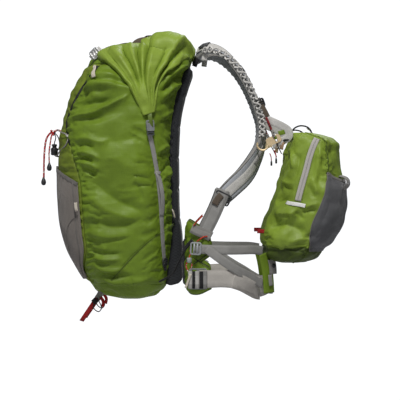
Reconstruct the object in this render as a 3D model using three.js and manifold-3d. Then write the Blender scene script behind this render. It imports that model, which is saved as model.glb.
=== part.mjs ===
// Hiking backpack with a roll-top main bag and a balance pocket on each side of its harness.
// Millimetres. +X is the way the wearer faces, +Y is the wearer's left, +Z is up.
// The origin is the middle of the lumbar pad's flat face, where the wearer's back rests.
import * as THREE from 'three';
import { LoftGeometry } from 'three/addons/geometries/LoftGeometry.js';
import { mergeVertices } from 'three/addons/utils/BufferGeometryUtils.js';
import Module from 'manifold-3d';

const wasm = await Module();
wasm.setup();

// Driving dimensions.
const FABRIC = 2.4; // wall of a sewn fabric panel
const GAP = 0.4; // space left between neighbouring pieces
const WEB = 1.8; // thickness of webbing
const SIDE_WEB = 10; // width of the side compression webbing
const POCKET_WEB = 20; // width of the webbing that holds the balance pockets
const HIP_WEB = 38; // width of the hip belt webbing
const PAD = 12; // thickness of a shoulder strap or hip fin
const TOP_SEAM = 432; // height where the bag's walls meet its roll-top collar
const BOTTOM_SEAM = -45; // height where the bag's walls meet its base
const BACK_SEAM = 14; // how far the back panel wraps round towards the sides
const POCKET_TURN = THREE.MathUtils.degToRad(15); // each balance pocket faces this far outwards
const POCKET_AT = [251, 95, 0]; // middle of a balance pocket's base, forward, sideways and up
const HOOK_Y = -132; // sideways place of the right balance pocket's metal hook
const STAY_Y = 52; // a frame stay's distance from the middle of the back

const paint = (color, roughness, metalness = 0) =>
  new THREE.MeshStandardMaterial({ color, roughness, metalness });
const paints = {
  green: paint(0x6f8a38, 0.55),
  olive: paint(0x66752b, 0.6),
  stretch: paint(0x6d6864, 0.8),
  mesh: paint(0x24262a, 0.9),
  webbing: paint(0x96958f, 0.8),
  paleWebbing: paint(0xc8c5be, 0.8),
  padding: paint(0x7d838a, 0.85),
  plastic: paint(0x74777a, 0.45),
  blackPlastic: paint(0x1d1e20, 0.45),
  cord: paint(0x8d8b88, 0.8),
  red: paint(0x9c2226, 0.7),
  gold: paint(0xcdb48a, 0.3, 0.9),
  alloy: paint(0xb9bcc0, 0.35, 1),
};

// A closed geometry as a manifold-3d solid with its faces pointing out.
function solid(geometry) {
  const bare = new THREE.BufferGeometry().setAttribute('position', geometry.getAttribute('position'));
  const merged = mergeVertices(bare.setIndex(geometry.index), 1e-4);
  const p = merged.getAttribute('position');
  const corner = (i) => new THREE.Vector3().fromBufferAttribute(p, i);
  const faces = [];
  let volume = 0;
  for (let i = 0; i < merged.index.count; i += 3) {
    const [a, b, c] = [0, 1, 2].map((k) => merged.index.getX(i + k));
    if (a === b || b === c || a === c) continue;
    faces.push([a, b, c]);
    volume += corner(a).dot(corner(b).cross(corner(c)));
  }
  const triVerts = new Uint32Array(faces.flatMap((f) => (volume < 0 ? [f[0], f[2], f[1]] : f)));
  return new wasm.Manifold(new wasm.Mesh({ numProp: 3, vertProperties: p.array, triVerts }));
}

function geometryOf(shape) {
  const mesh = shape.getMesh();
  return new THREE.BufferGeometry()
    .setAttribute('position', new THREE.BufferAttribute(mesh.vertProperties, 3))
    .setIndex(new THREE.BufferAttribute(mesh.triVerts, 1));
}

const cutAway = (body, ...tools) =>
  geometryOf(tools.reduce((made, t) => made.subtract(solid(t)), solid(body)));
const joined = (first, ...rest) =>
  geometryOf(rest.reduce((made, t) => made.add(solid(t)), solid(first)));
const shared = (first, ...rest) =>
  geometryOf(rest.reduce((made, t) => made.intersect(solid(t)), solid(first)));

// A solid skinned over closed sections, which may run either way round.
function loft(sections) {
  const sumOf = (points) => points.reduce((sum, p) => sum.add(p), new THREE.Vector3());
  const middleOf = (points) => sumOf(points).divideScalar(points.length);
  const [first, second] = sections;
  const middle = middleOf(first);
  const turn = new THREE.Vector3();
  first.forEach((p, i) => {
    const next = first[(i + 1) % first.length];
    turn.add(p.clone().sub(middle).cross(next.clone().sub(middle)));
  });
  const forwards = turn.dot(middleOf(second).sub(middle)) > 0;
  const ordered = sections.map((points) => (forwards ? points : [...points].reverse()));
  return new LoftGeometry(ordered, { capStart: true, capEnd: true });
}

// The same piece on the wearer's other side.
function mirrored(geometry) {
  return geometryOf(solid(geometryOf(solid(geometry)).scale(1, -1, 1)));
}

const pack = new THREE.Group();

function add(name, geometry, material, parent = pack) {
  const mesh = new THREE.Mesh(geometryOf(solid(geometry)), material);
  mesh.name = name;
  parent.add(mesh);
  return mesh;
}

// A piece and its mirror image. The geometry is made for the wearer's right, where Y is negative.
function addPair(name, geometry, material, rightParent = pack, leftParent = pack) {
  add(`${name}_right`, geometry, material, rightParent);
  add(`${name}_left`, mirrored(geometry), material, leftParent);
}

const lerp = THREE.MathUtils.lerp;

// A soft bag as rows of [height, rear, front, half width], rearmost X first.
class SoftBag {
  constructor(rows, rearPower, frontPower, columns) {
    Object.assign(this, { rows, rearPower, frontPower, columns });
    const heights = rows.map((row) => row[0]);
    this.middle = (Math.min(...heights) + Math.max(...heights)) / 2;
    this.reach = Math.max(...heights) - this.middle;
  }

  // The row at a height, found between the given ones.
  at(height) {
    const next = Math.max(1, this.rows.findIndex((row) => row[0] >= height));
    const [low, high] = [this.rows[next - 1], this.rows[next]];
    const t = (height - low[0]) / (high[0] - low[0]);
    return low.map((value, i) => lerp(value, high[i], t));
  }

  // Half the bag's width at a place in the side view.
  halfWidth(x, height) {
    const [, rear, front, half] = this.at(height);
    const u = (2 * x - rear - front) / (front - rear);
    const power = u > 0 ? this.frontPower : this.rearPower;
    return half * Math.pow(Math.max(0, 1 - Math.pow(Math.abs(u), power)), 1 / power);
  }

  // The outward direction on the wearer's right, and the place a little way out from there.
  outward(x, height) {
    const slope = (dx, dz) => this.halfWidth(x - dx, height - dz) - this.halfWidth(x + dx, height + dz);
    return new THREE.Vector3(slope(0.5, 0), -1, slope(0, 0.5)).normalize();
  }

  skin(x, height, lift) {
    const at = new THREE.Vector3(x, -this.halfWidth(x, height), height);
    return at.addScaledVector(this.outward(x, height), lift);
  }

  // The closed outer form, grown outwards by a distance or shrunk by a negative one. A coarse one takes
  // every second row and column, and lies just inside the fine one.
  form(grow = 0, every = 1) {
    const last = this.rows.length - 1;
    const kept = this.rows.filter((_, i) => i % every === 0 || i === last);
    const columns = this.columns / every;
    const sections = kept.map(([height, rear, front, half]) => {
      const z = this.middle + (height - this.middle) * (1 + grow / this.reach);
      const [middle, deep] = [(rear + front) / 2, (front - rear) / 2 + grow];
      return Array.from({ length: columns }, (_, i) => {
        const angle = (2 * Math.PI * i) / columns;
        const [c, s] = [Math.cos(angle), Math.sin(angle)];
        const power = 2 / (c > 0 ? this.frontPower : this.rearPower);
        const x = middle + deep * Math.sign(c) * Math.pow(Math.abs(c), power);
        const y = (half + grow) * Math.sign(s) * Math.pow(Math.abs(s), power);
        return new THREE.Vector3(x, y, z);
      });
    });
    return loft(sections);
  }

  // The fabric shell, and a layer of fabric sewn on outside it.
  shell() {
    return cutAway(this.form(), this.form(-FABRIC, 2));
  }

  patch(thickness) {
    return cutAway(this.form(GAP + thickness), this.form(GAP));
  }
}

// A side-view outline, as [x, z] points, made into a block from one Y to another.
function sideBlock(points, fromY = -400, toY = 400, smooth = false) {
  const shape = new THREE.Shape();
  const corners = points.map(([x, z]) => new THREE.Vector2(x, z));
  shape.moveTo(corners[0].x, corners[0].y);
  if (smooth) shape.splineThru(corners.slice(1));
  else corners.slice(1).forEach((c) => shape.lineTo(c.x, c.y));
  const settings = { depth: toY - fromY, bevelEnabled: false, curveSegments: 3 };
  const block = new THREE.ExtrudeGeometry(shape, settings);
  return block.rotateX(Math.PI / 2).translate(0, toY, 0);
}

const slab = (low, high) =>
  sideBlock([
    [-500, low],
    [500, low],
    [500, high],
    [-500, high],
  ]);

const smoothLine = (points, steps) =>
  new THREE.SplineCurve(points.map((p) => new THREE.Vector2(...p))).getPoints(steps).map((p) => [p.x, p.y]);

// A flat strap through stations of [x, y, z], facing outwards along [x, y, z], with a width at each.
function strap(stations, thickness, steps) {
  const curve = (key) => new THREE.CatmullRomCurve3(stations.map((s) => new THREE.Vector3(...s[key])));
  const [path, facing] = [curve(0), curve(1)];
  const widths = new THREE.SplineCurve(stations.map((s, i) => new THREE.Vector2(i, s[2])));
  const sections = Array.from({ length: steps + 1 }, (_, i) => {
    const t = i / steps;
    const [at, along, out] = [path.getPoint(t), path.getTangent(t), facing.getPoint(t)];
    out.addScaledVector(along, -out.dot(along)).normalize();
    const across = along.clone().cross(out);
    const half = widths.getPoint(t).y / 2;
    return [
      [-half, -thickness / 2],
      [half, -thickness / 2],
      [half, thickness / 2],
      [-half, thickness / 2],
    ].map(([a, b]) => at.clone().addScaledVector(across, a).addScaledVector(out, b));
  });
  return loft(sections);
}

// A round cord along points.
function cord(points, radius, steps, sides = 5) {
  const path = new THREE.CatmullRomCurve3(points.map((p) => new THREE.Vector3(...p)));
  const circle = new THREE.EllipseCurve(0, 0, radius, radius, 0, 2 * Math.PI);
  const round = new THREE.Shape(circle.getPoints(sides));
  return new THREE.ExtrudeGeometry(round, { steps, extrudePath: path, bevelEnabled: false });
}

// A plate in the XY plane, from an outline of [x, y] points with holes, centred on its thickness.
function plate(outline, thickness, holes = []) {
  const shape = new THREE.Shape(outline.map((p) => new THREE.Vector2(...p)));
  shape.holes = holes.map((hole) => new THREE.Path(hole.map((p) => new THREE.Vector2(...p))));
  const settings = { depth: thickness, bevelEnabled: false };
  return new THREE.ExtrudeGeometry(shape, settings).translate(0, 0, -thickness / 2);
}

// A piece drawn flat at the origin, moved so that its Y runs along a direction and its Z faces out.
function placed(geometry, at, along, out) {
  const [up, face] = [new THREE.Vector3(...along).normalize(), new THREE.Vector3(...out)];
  face.addScaledVector(up, -face.dot(up)).normalize();
  const matrix = new THREE.Matrix4().makeBasis(up.clone().cross(face), up, face).setPosition(...at);
  return geometryOf(solid(geometry)).applyMatrix4(matrix);
}

const rectangle = (x0, y0, x1, y1) => [
  [x0, y0],
  [x1, y0],
  [x1, y1],
  [x0, y1],
];

// A rectangle whose corners are cut by a bevel.
const bevelled = (x0, y0, x1, y1, b) => [
  [x0 + b, y0],
  [x1 - b, y0],
  [x1, y0 + b],
  [x1, y1 - b],
  [x1 - b, y1],
  [x0 + b, y1],
  [x0, y1 - b],
  [x0, y0 + b],
];

// ---------------------------------------------------------------- main bag

const bag = new SoftBag(
  [
    [-83, -150, -105, 40],
    [-78, -172, -85, 75],
    [-66, -195, -66, 102],
    [-48, -217, -48, 120],
    [-18, -238, -40, 134],
    [32, -262, -33, 145],
    [100, -277, -30, 152],
    [180, -283, -35, 158],
    [240, -284, -36, 160],
    [300, -276, -32, 157],
    [355, -262, -23, 150],
    [402, -240, -10, 140],
    [436, -220, 4, 126],
    [458, -198, 6, 104],
    [470, -172, -4, 76],
    [476, -135, -35, 40],
  ],
  2.6,
  4,
  24,
);

// Three places on the bag that the main zip runs through, from its top to its bottom.
const ZIP_POINTS = [
  [-192, 428],
  [-239, 368],
  [-266, 309],
].map(([x, z]) => new THREE.Vector3(x, -bag.halfWidth(x, z), z));
const ZIP_FACING = new THREE.Vector3(-0.83, -0.39, 0.39); // the bag's outward direction halfway down the zip
const ZIP_TAPE = 8;

// The circle through three points: its middle, its radius and a way to walk round it.
function circleThrough([a, b, c]) {
  const [ab, ac] = [b.clone().sub(a), c.clone().sub(a)];
  const axis = ab.clone().cross(ac);
  const middle = ac.clone().multiplyScalar(ab.lengthSq()).sub(ab.clone().multiplyScalar(ac.lengthSq()));
  middle.cross(axis).divideScalar(2 * axis.lengthSq()).add(a);
  return { middle, axis: axis.normalize() };
}

const zipCircle = circleThrough(ZIP_POINTS);
const zipSpoke = ZIP_POINTS[0].clone().sub(zipCircle.middle);
const zipTravel = zipSpoke.angleTo(ZIP_POINTS[2].clone().sub(zipCircle.middle));

// A place on the main zip, a share of the way down it, with the bag's outward direction there.
function alongZip(share, lift = 0) {
  const middleSpoke = ZIP_POINTS[1].clone().sub(zipCircle.middle);
  const turn = share * zipTravel - zipSpoke.angleTo(middleSpoke);
  const out = ZIP_FACING.clone().normalize().applyAxisAngle(zipCircle.axis, turn);
  const at = middleSpoke.applyAxisAngle(zipCircle.axis, turn).add(zipCircle.middle);
  return { at: at.addScaledVector(out, lift), out };
}

function zipStrip(from, to, width, thickness, lift, steps) {
  const stations = Array.from({ length: steps + 1 }, (_, i) => {
    const { at, out } = alongZip(lerp(from, to, i / steps), lift);
    return [at.toArray(), out.toArray(), width];
  });
  return strap(stations, thickness, steps);
}

// The place where a line through the zip, along its outward direction, meets the bag.
function zipOnBag(share) {
  let [low, high] = [-15, 15];
  for (let i = 0; i < 12; i++) {
    const lift = (low + high) / 2;
    const { at } = alongZip(share, lift);
    if (-at.y > bag.halfWidth(at.x, at.z)) high = lift;
    else low = lift;
  }
  return alongZip(share, low).at;
}

// The side-view line between the front panel, which faces rearwards, and the side panels.
// Its top part is the zip.
function frontSeam() {
  const low = [
    [-187, -62],
    [-222, 37],
    [-235, 176],
    [-256, 250],
  ];
  const onZip = [1, 0.8, 0.6, 0.4, 0.2, 0, -0.08].map(zipOnBag);
  return smoothLine([...low, ...onZip.map((p) => [p.x, p.z])], 22);
}

function bagPanels() {
  const shell = bag.shell();
  const seam = frontSeam();
  const rearOf = (shift) => sideBlock([...seam.map(([x, z]) => [x + shift, z]), [-400, 446], [-400, -62]]);
  const backLine = bag.rows.slice(2, -2).map(([z, , front]) => [front - BACK_SEAM, z]);
  const aheadOf = (shift) => sideBlock([...backLine.map(([x, z]) => [x + shift, z]), [300, 468], [300, -66]]);
  const walls = slab(BOTTOM_SEAM + GAP / 2, TOP_SEAM - GAP / 2);
  const zipSlot = zipStrip(-0.06, 1.06, ZIP_TAPE + 2 * GAP, 30, 0, 8);

  add('front_panel', cutAway(shared(shell, walls, rearOf(-GAP / 2)), zipSlot), paints.olive);
  add('back_panel', shared(shell, walls, aheadOf(GAP / 2)), paints.mesh);
  const sides = cutAway(shared(shell, walls), rearOf(GAP / 2), aheadOf(-GAP / 2), zipSlot);
  const rightHalf = sideBlock(rectangle(-500, -500, 500, 500), -400, 0);
  const leftHalf = sideBlock(rectangle(-500, -500, 500, 500), 0, 400);
  add('side_panel_right', shared(sides, rightHalf), paints.green);
  add('side_panel_left', shared(sides, leftHalf), paints.green);
  add('bottom_panel', shared(shell, slab(-200, BOTTOM_SEAM - GAP / 2)), paints.green);
}

// The collar that closes the bag: it is rolled up, and its two ends are pulled down the sides
// as narrow tongues.
function rollTop() {
  const tongueOutline = sideBlock([
    [-202, 540],
    [-202, 462],
    [-185, 444],
    [-139, 383],
    [-103, 343],
    [-92, 311],
    [-73, 316],
    [-72, 345],
    [-60, 388],
    [-29, 438],
    [2, 470],
    [2, 540],
  ]);
  const roll = [-112, -104, -80, -30, 30, 80, 104, 112].map((y) => {
    const size = Math.pow(1 - Math.pow(Math.abs(y) / 116, 4), 0.5);
    return new THREE.EllipseCurve(-48, 470, 61 * size, 33 * size, 0, 2 * Math.PI)
      .getPoints(16)
      .slice(1)
      .map((p) => new THREE.Vector3(p.x, y, p.y));
  });
  const collar = shared(bag.form(), slab(TOP_SEAM + GAP / 2, 600));
  const tongues = shared(bag.form(6.5), tongueOutline);
  const whole = joined(collar, tongues, loft(roll));
  return cutAway(whole, bag.form(-FABRIC), shared(bag.form(1.2), slab(-200, TOP_SEAM + GAP / 2)));
}

function stretchPocket() {
  const outline = sideBlock([
    [-320, 213],
    [-285, 213],
    [-264, 187],
    [-237, 176],
    [-231, 103],
    [-222, 37],
    [-205, -29],
    [-229, -38],
    [-320, -38],
  ]);
  return shared(bag.patch(2.6), outline);
}

function backPads() {
  const front = [
    [-16, -52],
    [-13, -48],
    [-13, 56],
    [-20, 110],
    [-20, 260],
    [-14, 330],
    [0, 385],
    [14, 425],
  ];
  const block = sideBlock([[-60, -52], ...front, [-40, 425]], -86, 86);
  const stayLine = [-30, 30, 100, 180, 240, 300, 355, 400].map((z) => [bag.at(z)[2] + 6, z]);
  const stay = (line, width, thickness) =>
    strap(
      line.map(([x, z]) => [[x, -STAY_Y, z], [1, 0, 0], width]),
      thickness,
      14,
    );
  const channel = stay([...stayLine, [14, 440]], 13.5, 4);
  add('back_pad', cutAway(block, bag.form(GAP), channel, mirrored(channel)), paints.mesh);
  addPair('frame_stay', stay(stayLine, 12, 2.6), paints.alloy);

  const lumbar = plate(bevelled(-78, -50, 78, 50, 18), 12.5).rotateY(Math.PI / 2).rotateX(Math.PI / 2);
  add('lumbar_pad', lumbar.translate(-6.25, 0, 0), paints.mesh);
}

// ---------------------------------------------------------------- buckles and adjusters
// Each is drawn flat: X across the webbing, Y along it, Z its thickness.
// Sizes are for a 50 mm buckle, then scaled.

const BUCKLE = { wide: 50, base: 14, mouth: 15, socket: 38, thick: 6, prongRoot: 15, prongTip: 36 };

const plugBase = () =>
  joined(
    plate(bevelled(-23, 0, 23, BUCKLE.base, 2), BUCKLE.thick, [rectangle(-19.5, 4, 19.5, 8)]),
    plate(rectangle(-4, BUCKLE.base - 2, 4, BUCKLE.prongTip - 6), BUCKLE.thick),
  );

// One sprung arm with its barb. side is 1 or -1.
const prong = (side, root = BUCKLE.prongRoot) =>
  plate(
    [
      [14, root],
      [19, root],
      [22, 24],
      [22, 30],
      [15, BUCKLE.prongTip],
      [13, 30],
      [17, 24],
    ].map(([x, y]) => [x * side, y]),
    BUCKLE.thick,
  );

function buckleSocket() {
  const { mouth, socket } = BUCKLE;
  const body = plate(bevelled(-25, mouth, 25, mouth + socket, 4), 13, [rectangle(-19.5, 44, 19.5, 48)]);
  const hollow = plate(rectangle(-23, mouth - 5, 23, 40), 8);
  const windows = plate(rectangle(-30, 23, 30, 31), 7);
  return cutAway(body, hollow, windows);
}

const scaled = (geometry, wide, long, thick) => geometry.clone().scale(wide, long, thick);

// A frame with three bars that webbing is threaded through.
const ladderLock = (web, length, thickness) =>
  plate(bevelled(-web / 2 - 3.5, 0, web / 2 + 3.5, length, 2), thickness, [
    rectangle(-web / 2 - 0.5, length * 0.16, web / 2 + 0.5, length * 0.42),
    rectangle(-web / 2 - 0.5, length * 0.58, web / 2 + 0.5, length * 0.84),
  ]);

// ---------------------------------------------------------------- side compression straps

// Where the strap lies in the side view, from the buckle down to its anchor.
const STRAP_LINE = [
  [-81, 272],
  [-72, 224],
  [-64, 170],
  [-59, 114],
  [-57, 70],
  [-54, 20],
  [-52, -12],
];
const BUCKLE_FOOT = [-82, 275]; // the lower end of the side buckle in the side view
const STRAP_LIFT = 3.2; // the strap's middle stands this far off the bag

function sideStraps() {
  const stations = STRAP_LINE.map(([x, z]) => [
    bag.skin(x, z, STRAP_LIFT).toArray(),
    bag.outward(x, z).toArray(),
    SIDE_WEB,
  ]);
  addPair('compression_strap', strap(stations, WEB, 10), paints.webbing);

  const [x, z] = BUCKLE_FOOT;
  const [foot, out] = [bag.skin(x, z, 6.4).toArray(), bag.outward(x, z).toArray()];
  const along = [-0.06, 0, 1];
  const small = (geometry) => placed(scaled(geometry, 0.34, 0.62, 0.55), foot, along, out);
  addPair('side_buckle_plug', small(joined(plugBase(), prong(1, 12), prong(-1, 12))), paints.plastic);
  addPair('side_buckle_socket', small(buckleSocket()), paints.plastic);
}

function topStrap() {
  const line = [
    [-222, 446],
    [-204, 470],
    [-174, 482],
    [-140, 487],
    [-114, 486],
    [-100, 491],
    [-82, 500],
  ];
  return strap(
    line.map(([x, z]) => [[x, 0, z], [-0.4, 0, 1], POCKET_WEB]),
    WEB,
    12,
  );
}

// ---------------------------------------------------------------- main zip, cords and loops

function mainZip() {
  add('main_zip', zipStrip(0, 1, ZIP_TAPE, 1.4, -0.2, 14), paints.blackPlastic);
  // The slider is closed at the zip's top end, and turns about the zip's own circle.
  add('main_zip_slider', zipStrip(0.02, 0.075, 6.5, 3.4, 3, 2), paints.blackPlastic);
  const { at, out } = alongZip(0.05, 6.4);
  const tip = bag.skin(at.x + 5, at.z - 24, 9);
  const tag = [at, tip].map((p) => [p.toArray(), out.toArray(), 9]);
  add('main_zip_pull', strap(tag, 1.6, 1), paints.paleWebbing);
}

const CORD_R = 1.6;
const LOCK_AT = [-300, 0, 236]; // foot of the front cord lock

function frontCords() {
  const hook = [-250, 276];
  const across = (x, z) => bag.halfWidth(x, z);
  const rightHook = [hook[0], -across(...hook) - 4, hook[1]];
  const down = [
    [-270, -103, 258],
    [-287, -60, 240],
    [-292, -22, 232],
  ];
  const right = [[-288, -50, 290], [-276, -88, 284], rightHook, ...down];
  const left = right.map(([x, y, z]) => [x, -y, z]).reverse();
  const lace = [[-292, -10, 292], ...right, ...left, [-292, 10, 292]];
  add('front_cord', cord(lace, CORD_R, 26), paints.cord);

  const lathe = (points, sides) =>
    new THREE.LatheGeometry(
      points.map((p) => new THREE.Vector2(...p)),
      sides,
    ).rotateX(Math.PI / 2);
  // A hollow barrel, open at the top, and the sprung plunger that slides in it.
  const barrel = lathe(
    [
      [0, 0],
      [6, 0],
      [8, 3],
      [8, 15],
      [6.8, 16.5],
      [5.2, 16.5],
      [5.2, 4],
      [0, 4],
    ],
    10,
  );
  const plunger = lathe(
    [
      [0, 9],
      [4.8, 9],
      [4.8, 21],
      [6, 21.5],
      [6, 24],
      [4, 25],
      [0, 25],
    ],
    10,
  );
  add('front_cord_lock', barrel.translate(...LOCK_AT), paints.blackPlastic);
  add('front_lock_plunger', plunger.translate(...LOCK_AT), paints.blackPlastic);

  // Two cord tails with drop-shaped pulls, hanging from one knot.
  const drop = (x, y, z) =>
    lathe(
      [
        [0, -9],
        [4, -7.5],
        [5.6, -3],
        [4.6, 2],
        [2, 8],
        [0, 9],
      ],
      8,
    ).translate(x, y, z);
  const knot = [-300, -22, 287];
  const tails = joined(
    new THREE.SphereGeometry(4, 6, 4).translate(...knot),
    cord([knot, [-318, -24, 262], [-323, -25, 225], [-322, -25, 184]], 1.3, 8),
    cord([knot, [-307, -27, 266], [-310, -29, 240], [-309, -29, 216]], 1.3, 6),
    drop(-322, -25, 178),
    drop(-309, -29, 210),
  );
  add('cord_pulls', tails, paints.cord);
}

// A closed loop of webbing in the side view, hanging down and rearwards from its top end.
function axeLoop() {
  const long = 56;
  const ring = (r) => [
    ...new THREE.EllipseCurve(0, 0, r, r, 0, Math.PI).getPoints(6).map((p) => [p.x, p.y]),
    ...new THREE.EllipseCurve(0, -long, r, r, Math.PI, 2 * Math.PI).getPoints(6).map((p) => [p.x, p.y]),
  ];
  return plate(ring(5), 8, [ring(3)])
    .rotateX(Math.PI / 2)
    .rotateY(0.58)
    .translate(-203, -62, -80);
}

// A webbing loop to lift the pack by, leaning forward from the top of the back panel.
function haulLoop() {
  const arch = (half, top) => [
    [half, 0],
    [half, top - 12],
    [half - 12, top],
    [12 - half, top],
    [-half, top - 12],
    [-half, 0],
  ];
  const outline = [...arch(28, 42), ...arch(25.4, 39.4).reverse()];
  return placed(plate(outline, 14), [13, 0, 437], [0.35, 0, 1], [1, 0, -0.35]);
}

// ---------------------------------------------------------------- harness, made for the wearer's right

function shoulderHarness() {
  const shoulder = strap(
    [
      [[25, -60, 452], [-0.2, -0.1, 1], 42],
      [[46, -70, 463], [0, -0.15, 1], 52],
      [[75, -84, 457], [0.35, -0.15, 0.95], 60],
      [[104, -91, 430], [0.65, -0.1, 0.75], 62],
      [[129, -94, 392], [0.85, -0.1, 0.5], 62],
      [[149, -94, 345], [0.95, -0.1, 0.3], 58],
      [[161, -95, 300], [1, -0.1, 0.1], 54],
      [[160, -101, 258], [1, -0.3, -0.1], 50],
      [[146, -113, 224], [0.85, -0.55, -0.15], 47],
      [[125, -130, 191], [0.55, -0.85, -0.1], 44],
      [[97, -148, 163], [0.2, -1, 0], 40],
      [[76, -157, 142], [0, -1, 0], 36],
    ],
    PAD,
    26,
  );
  addPair('shoulder_strap', shoulder, paints.padding);
  const lifter = [
    [[24, -60, 470], [-0.2, -0.1, 1], POCKET_WEB],
    [[48, -71, 481], [0, -0.1, 1], POCKET_WEB],
    [[74, -83, 477], [0.35, -0.1, 0.95], POCKET_WEB],
    [[92, -89, 460], [0.6, -0.1, 0.8], POCKET_WEB],
  ];
  addPair('load_lifter', strap(lifter, WEB, 8), paints.paleWebbing);
  const lower = [
    [[74, -168, 152], [0.1, -1, 0], 30],
    [[54, -172, 104], [0, -1, 0], 32],
    [[34, -171, 68], [-0.1, -1, 0], 32],
  ];
  addPair('lower_strap', strap(lower, WEB, 6), paints.webbing);
}

// The padded fin runs round the hip, as rows of [x, y, bottom, top, thickness], and is notched at its front.
function hipFin() {
  const rows = [
    [0, -82, -46, 50, 8],
    [-1, -108, -52, 70, PAD],
    [1, -132, -60, 90, PAD],
    [8, -151, -66, 88, PAD],
    [24, -162, -66, 76, PAD],
    [50, -170, -54, 46, 9],
  ];
  const sections = rows.map(([x, y, low, high, thick], i) => {
    const [before, after] = [rows[Math.max(0, i - 1)], rows[Math.min(rows.length - 1, i + 1)]];
    const out = new THREE.Vector2(after[1] - before[1], before[0] - after[0]).normalize();
    const at = (side, z) => new THREE.Vector3(x + (out.x * side * thick) / 2, y + (out.y * side * thick) / 2, z);
    return [at(-1, low), at(1, low + 3), at(1, high - 3), at(-1, high)];
  });
  const notch = sideBlock([
    [26, -3],
    [60, -18],
    [60, 14],
  ]);
  return cutAway(loft(sections), notch);
}

function hipBelt() {
  addPair('hip_fin', hipFin(), paints.green);
  const belt = [
    [[46, -182, -33], [0, -1, 0]],
    [[75, -184, -32], [0, -1, 0]],
    [[104, -178, -34], [0.3, -1, 0]],
    [[126, -160, -40], [0.6, -0.8, 0]],
    [[143, -137, -49], [0.8, -0.6, 0]],
    [[155, -107, -56], [0.9, -0.4, 0]],
    [[169, -76, -54], [1, -0.3, 0]],
    [[180, -44, -50], [1, -0.15, 0]],
  ].map(([at, out]) => [at, out, HIP_WEB]);
  addPair('hip_webbing', strap(belt, WEB, 12), paints.paleWebbing);
  const upper = [
    [[16, -176, 31], [-0.1, -1, 0]],
    [[50, -182, 30], [0, -1, 0]],
    [[85, -184, 29], [0.1, -1, 0]],
    [[120, -168, 29], [0.6, -0.9, 0]],
    [[138, -154, 29], [0.7, -0.7, 0]],
    [[149, -143, 29], [0.7, -0.7, 0]],
  ].map(([at, out]) => [at, out, POCKET_WEB]);
  addPair('pocket_strap', strap(upper, WEB, 10), paints.webbing);

  // The upright panel that joins the belt to the foot of the balance pocket.
  const tab = [
    [[166, -128, 14], [0.6, -0.8, 0], 24],
    [[168, -127, -14], [0.6, -0.8, 0], 26],
    [[174, -123, -60], [0.6, -0.8, 0], 22],
  ];
  addPair('hip_front_tab', strap(tab, 3, 3), paints.green);

  // The adjuster lies on the fin with its bars upright, ready to tilt outwards about its rear bar.
  const adjuster = placed(ladderLock(HIP_WEB, 38, 4), [3, -174, -33], [1, -0.12, 0], [-0.12, -1, 0]);
  addPair('hip_adjuster', adjuster, paints.plastic);
}

// The hip buckle is unclipped: the plug on the wearer's right faces the socket on the left.
function hipBuckle() {
  const apart = 30; // clear space that lets the two halves swing past each other
  const whole = BUCKLE.mouth + apart + BUCKLE.socket;
  const facing = (geometry) => placed(geometry, [183, -whole / 2, -49], [0, 1, 0], [1, 0, 0]);
  add('hip_buckle_plug', facing(plugBase()), paints.plastic);
  add('hip_buckle_prong_upper', facing(prong(-1)), paints.plastic);
  add('hip_buckle_prong_lower', facing(prong(1)), paints.plastic);
  add('hip_buckle_socket', facing(buckleSocket().translate(0, apart, 0)), paints.plastic);
}

// ---------------------------------------------------------------- balance pockets

const pocketBag = new SoftBag(
  [
    [0, -44, -2, 46],
    [8, -64, 18, 62],
    [30, -75, 38, 72],
    [60, -80, 60, 76],
    [100, -64, 78, 78],
    [135, -50, 83, 77],
    [190, -36, 80, 69],
    [240, -28, 72, 61],
    [268, -22, 62, 54],
    [282, -24, 20, 40],
  ],
  3.2,
  3.2,
  18,
);

// The pocket's zip runs straight up its outer side, between these two places.
const POCKET_ZIP = [
  [5, 128],
  [36, 262],
].map(([x, z]) => pocketBag.skin(x, z, 0));

function pocketStrip(from, to, width, thickness, lift) {
  const out = new THREE.Vector3(0, -1, -0.15);
  const stations = [from, (from + to) / 2, to].map((share) => {
    const at = POCKET_ZIP[0].clone().lerp(POCKET_ZIP[1], share).addScaledVector(out, lift);
    return [at.toArray(), out.toArray(), width];
  });
  return strap(stations, thickness, 2);
}

function balancePockets() {
  const [x, y, z] = POCKET_AT;
  const holder = (side) => {
    const group = new THREE.Group();
    group.position.set(x, side * y, z);
    group.rotation.z = side * POCKET_TURN;
    pack.add(group);
    return group;
  };
  const sides = [holder(-1), holder(1)];
  const slot = pocketStrip(-0.03, 1.03, 11, 30, 0);
  addPair('pocket_shell', cutAway(pocketBag.shell(), slot), paints.green, ...sides);
  const outline = sideBlock([
    [66, 192],
    [64, 144],
    [51, 112],
    [39, 81],
    [27, 33],
    [110, 24],
    [110, 186],
  ]);
  addPair('pocket_mesh', shared(pocketBag.patch(2.2), outline), paints.stretch, ...sides);
  addPair('pocket_zip', pocketStrip(0, 1, 10, 1.4, -0.6), paints.plastic, ...sides);
  addPair('pocket_slider', pocketStrip(0.9, 0.99, 8, 3.6, 2.6), paints.plastic, ...sides);

  // The webbing that doubles back from the shoulder strap, past the pocket's top, to the metal hook.
  const fold = sideBlock(
    [
      [178, 322],
      [198, 306],
      [217, 296],
      [222, 283],
      [215, 269],
      [208, 257],
      [199, 266],
      [208, 275],
      [210, 281],
      [192, 289],
      [174, 303],
    ],
    HOOK_Y + 2.1,
    HOOK_Y + 2.1 + WEB,
  );
  addPair('pocket_top_strap', fold, paints.paleWebbing);
  const hook = joined(openRing(12, 2.2), plate(bevelled(9, -9, 42, 9, 4), 3.4, [rectangle(28, -6, 34, 6)]));
  addPair('pocket_hook', placed(hook.rotateZ(0.4), [162, HOOK_Y, 256], [0, 0, 1], [0, -1, 0]), paints.gold);
}

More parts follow.
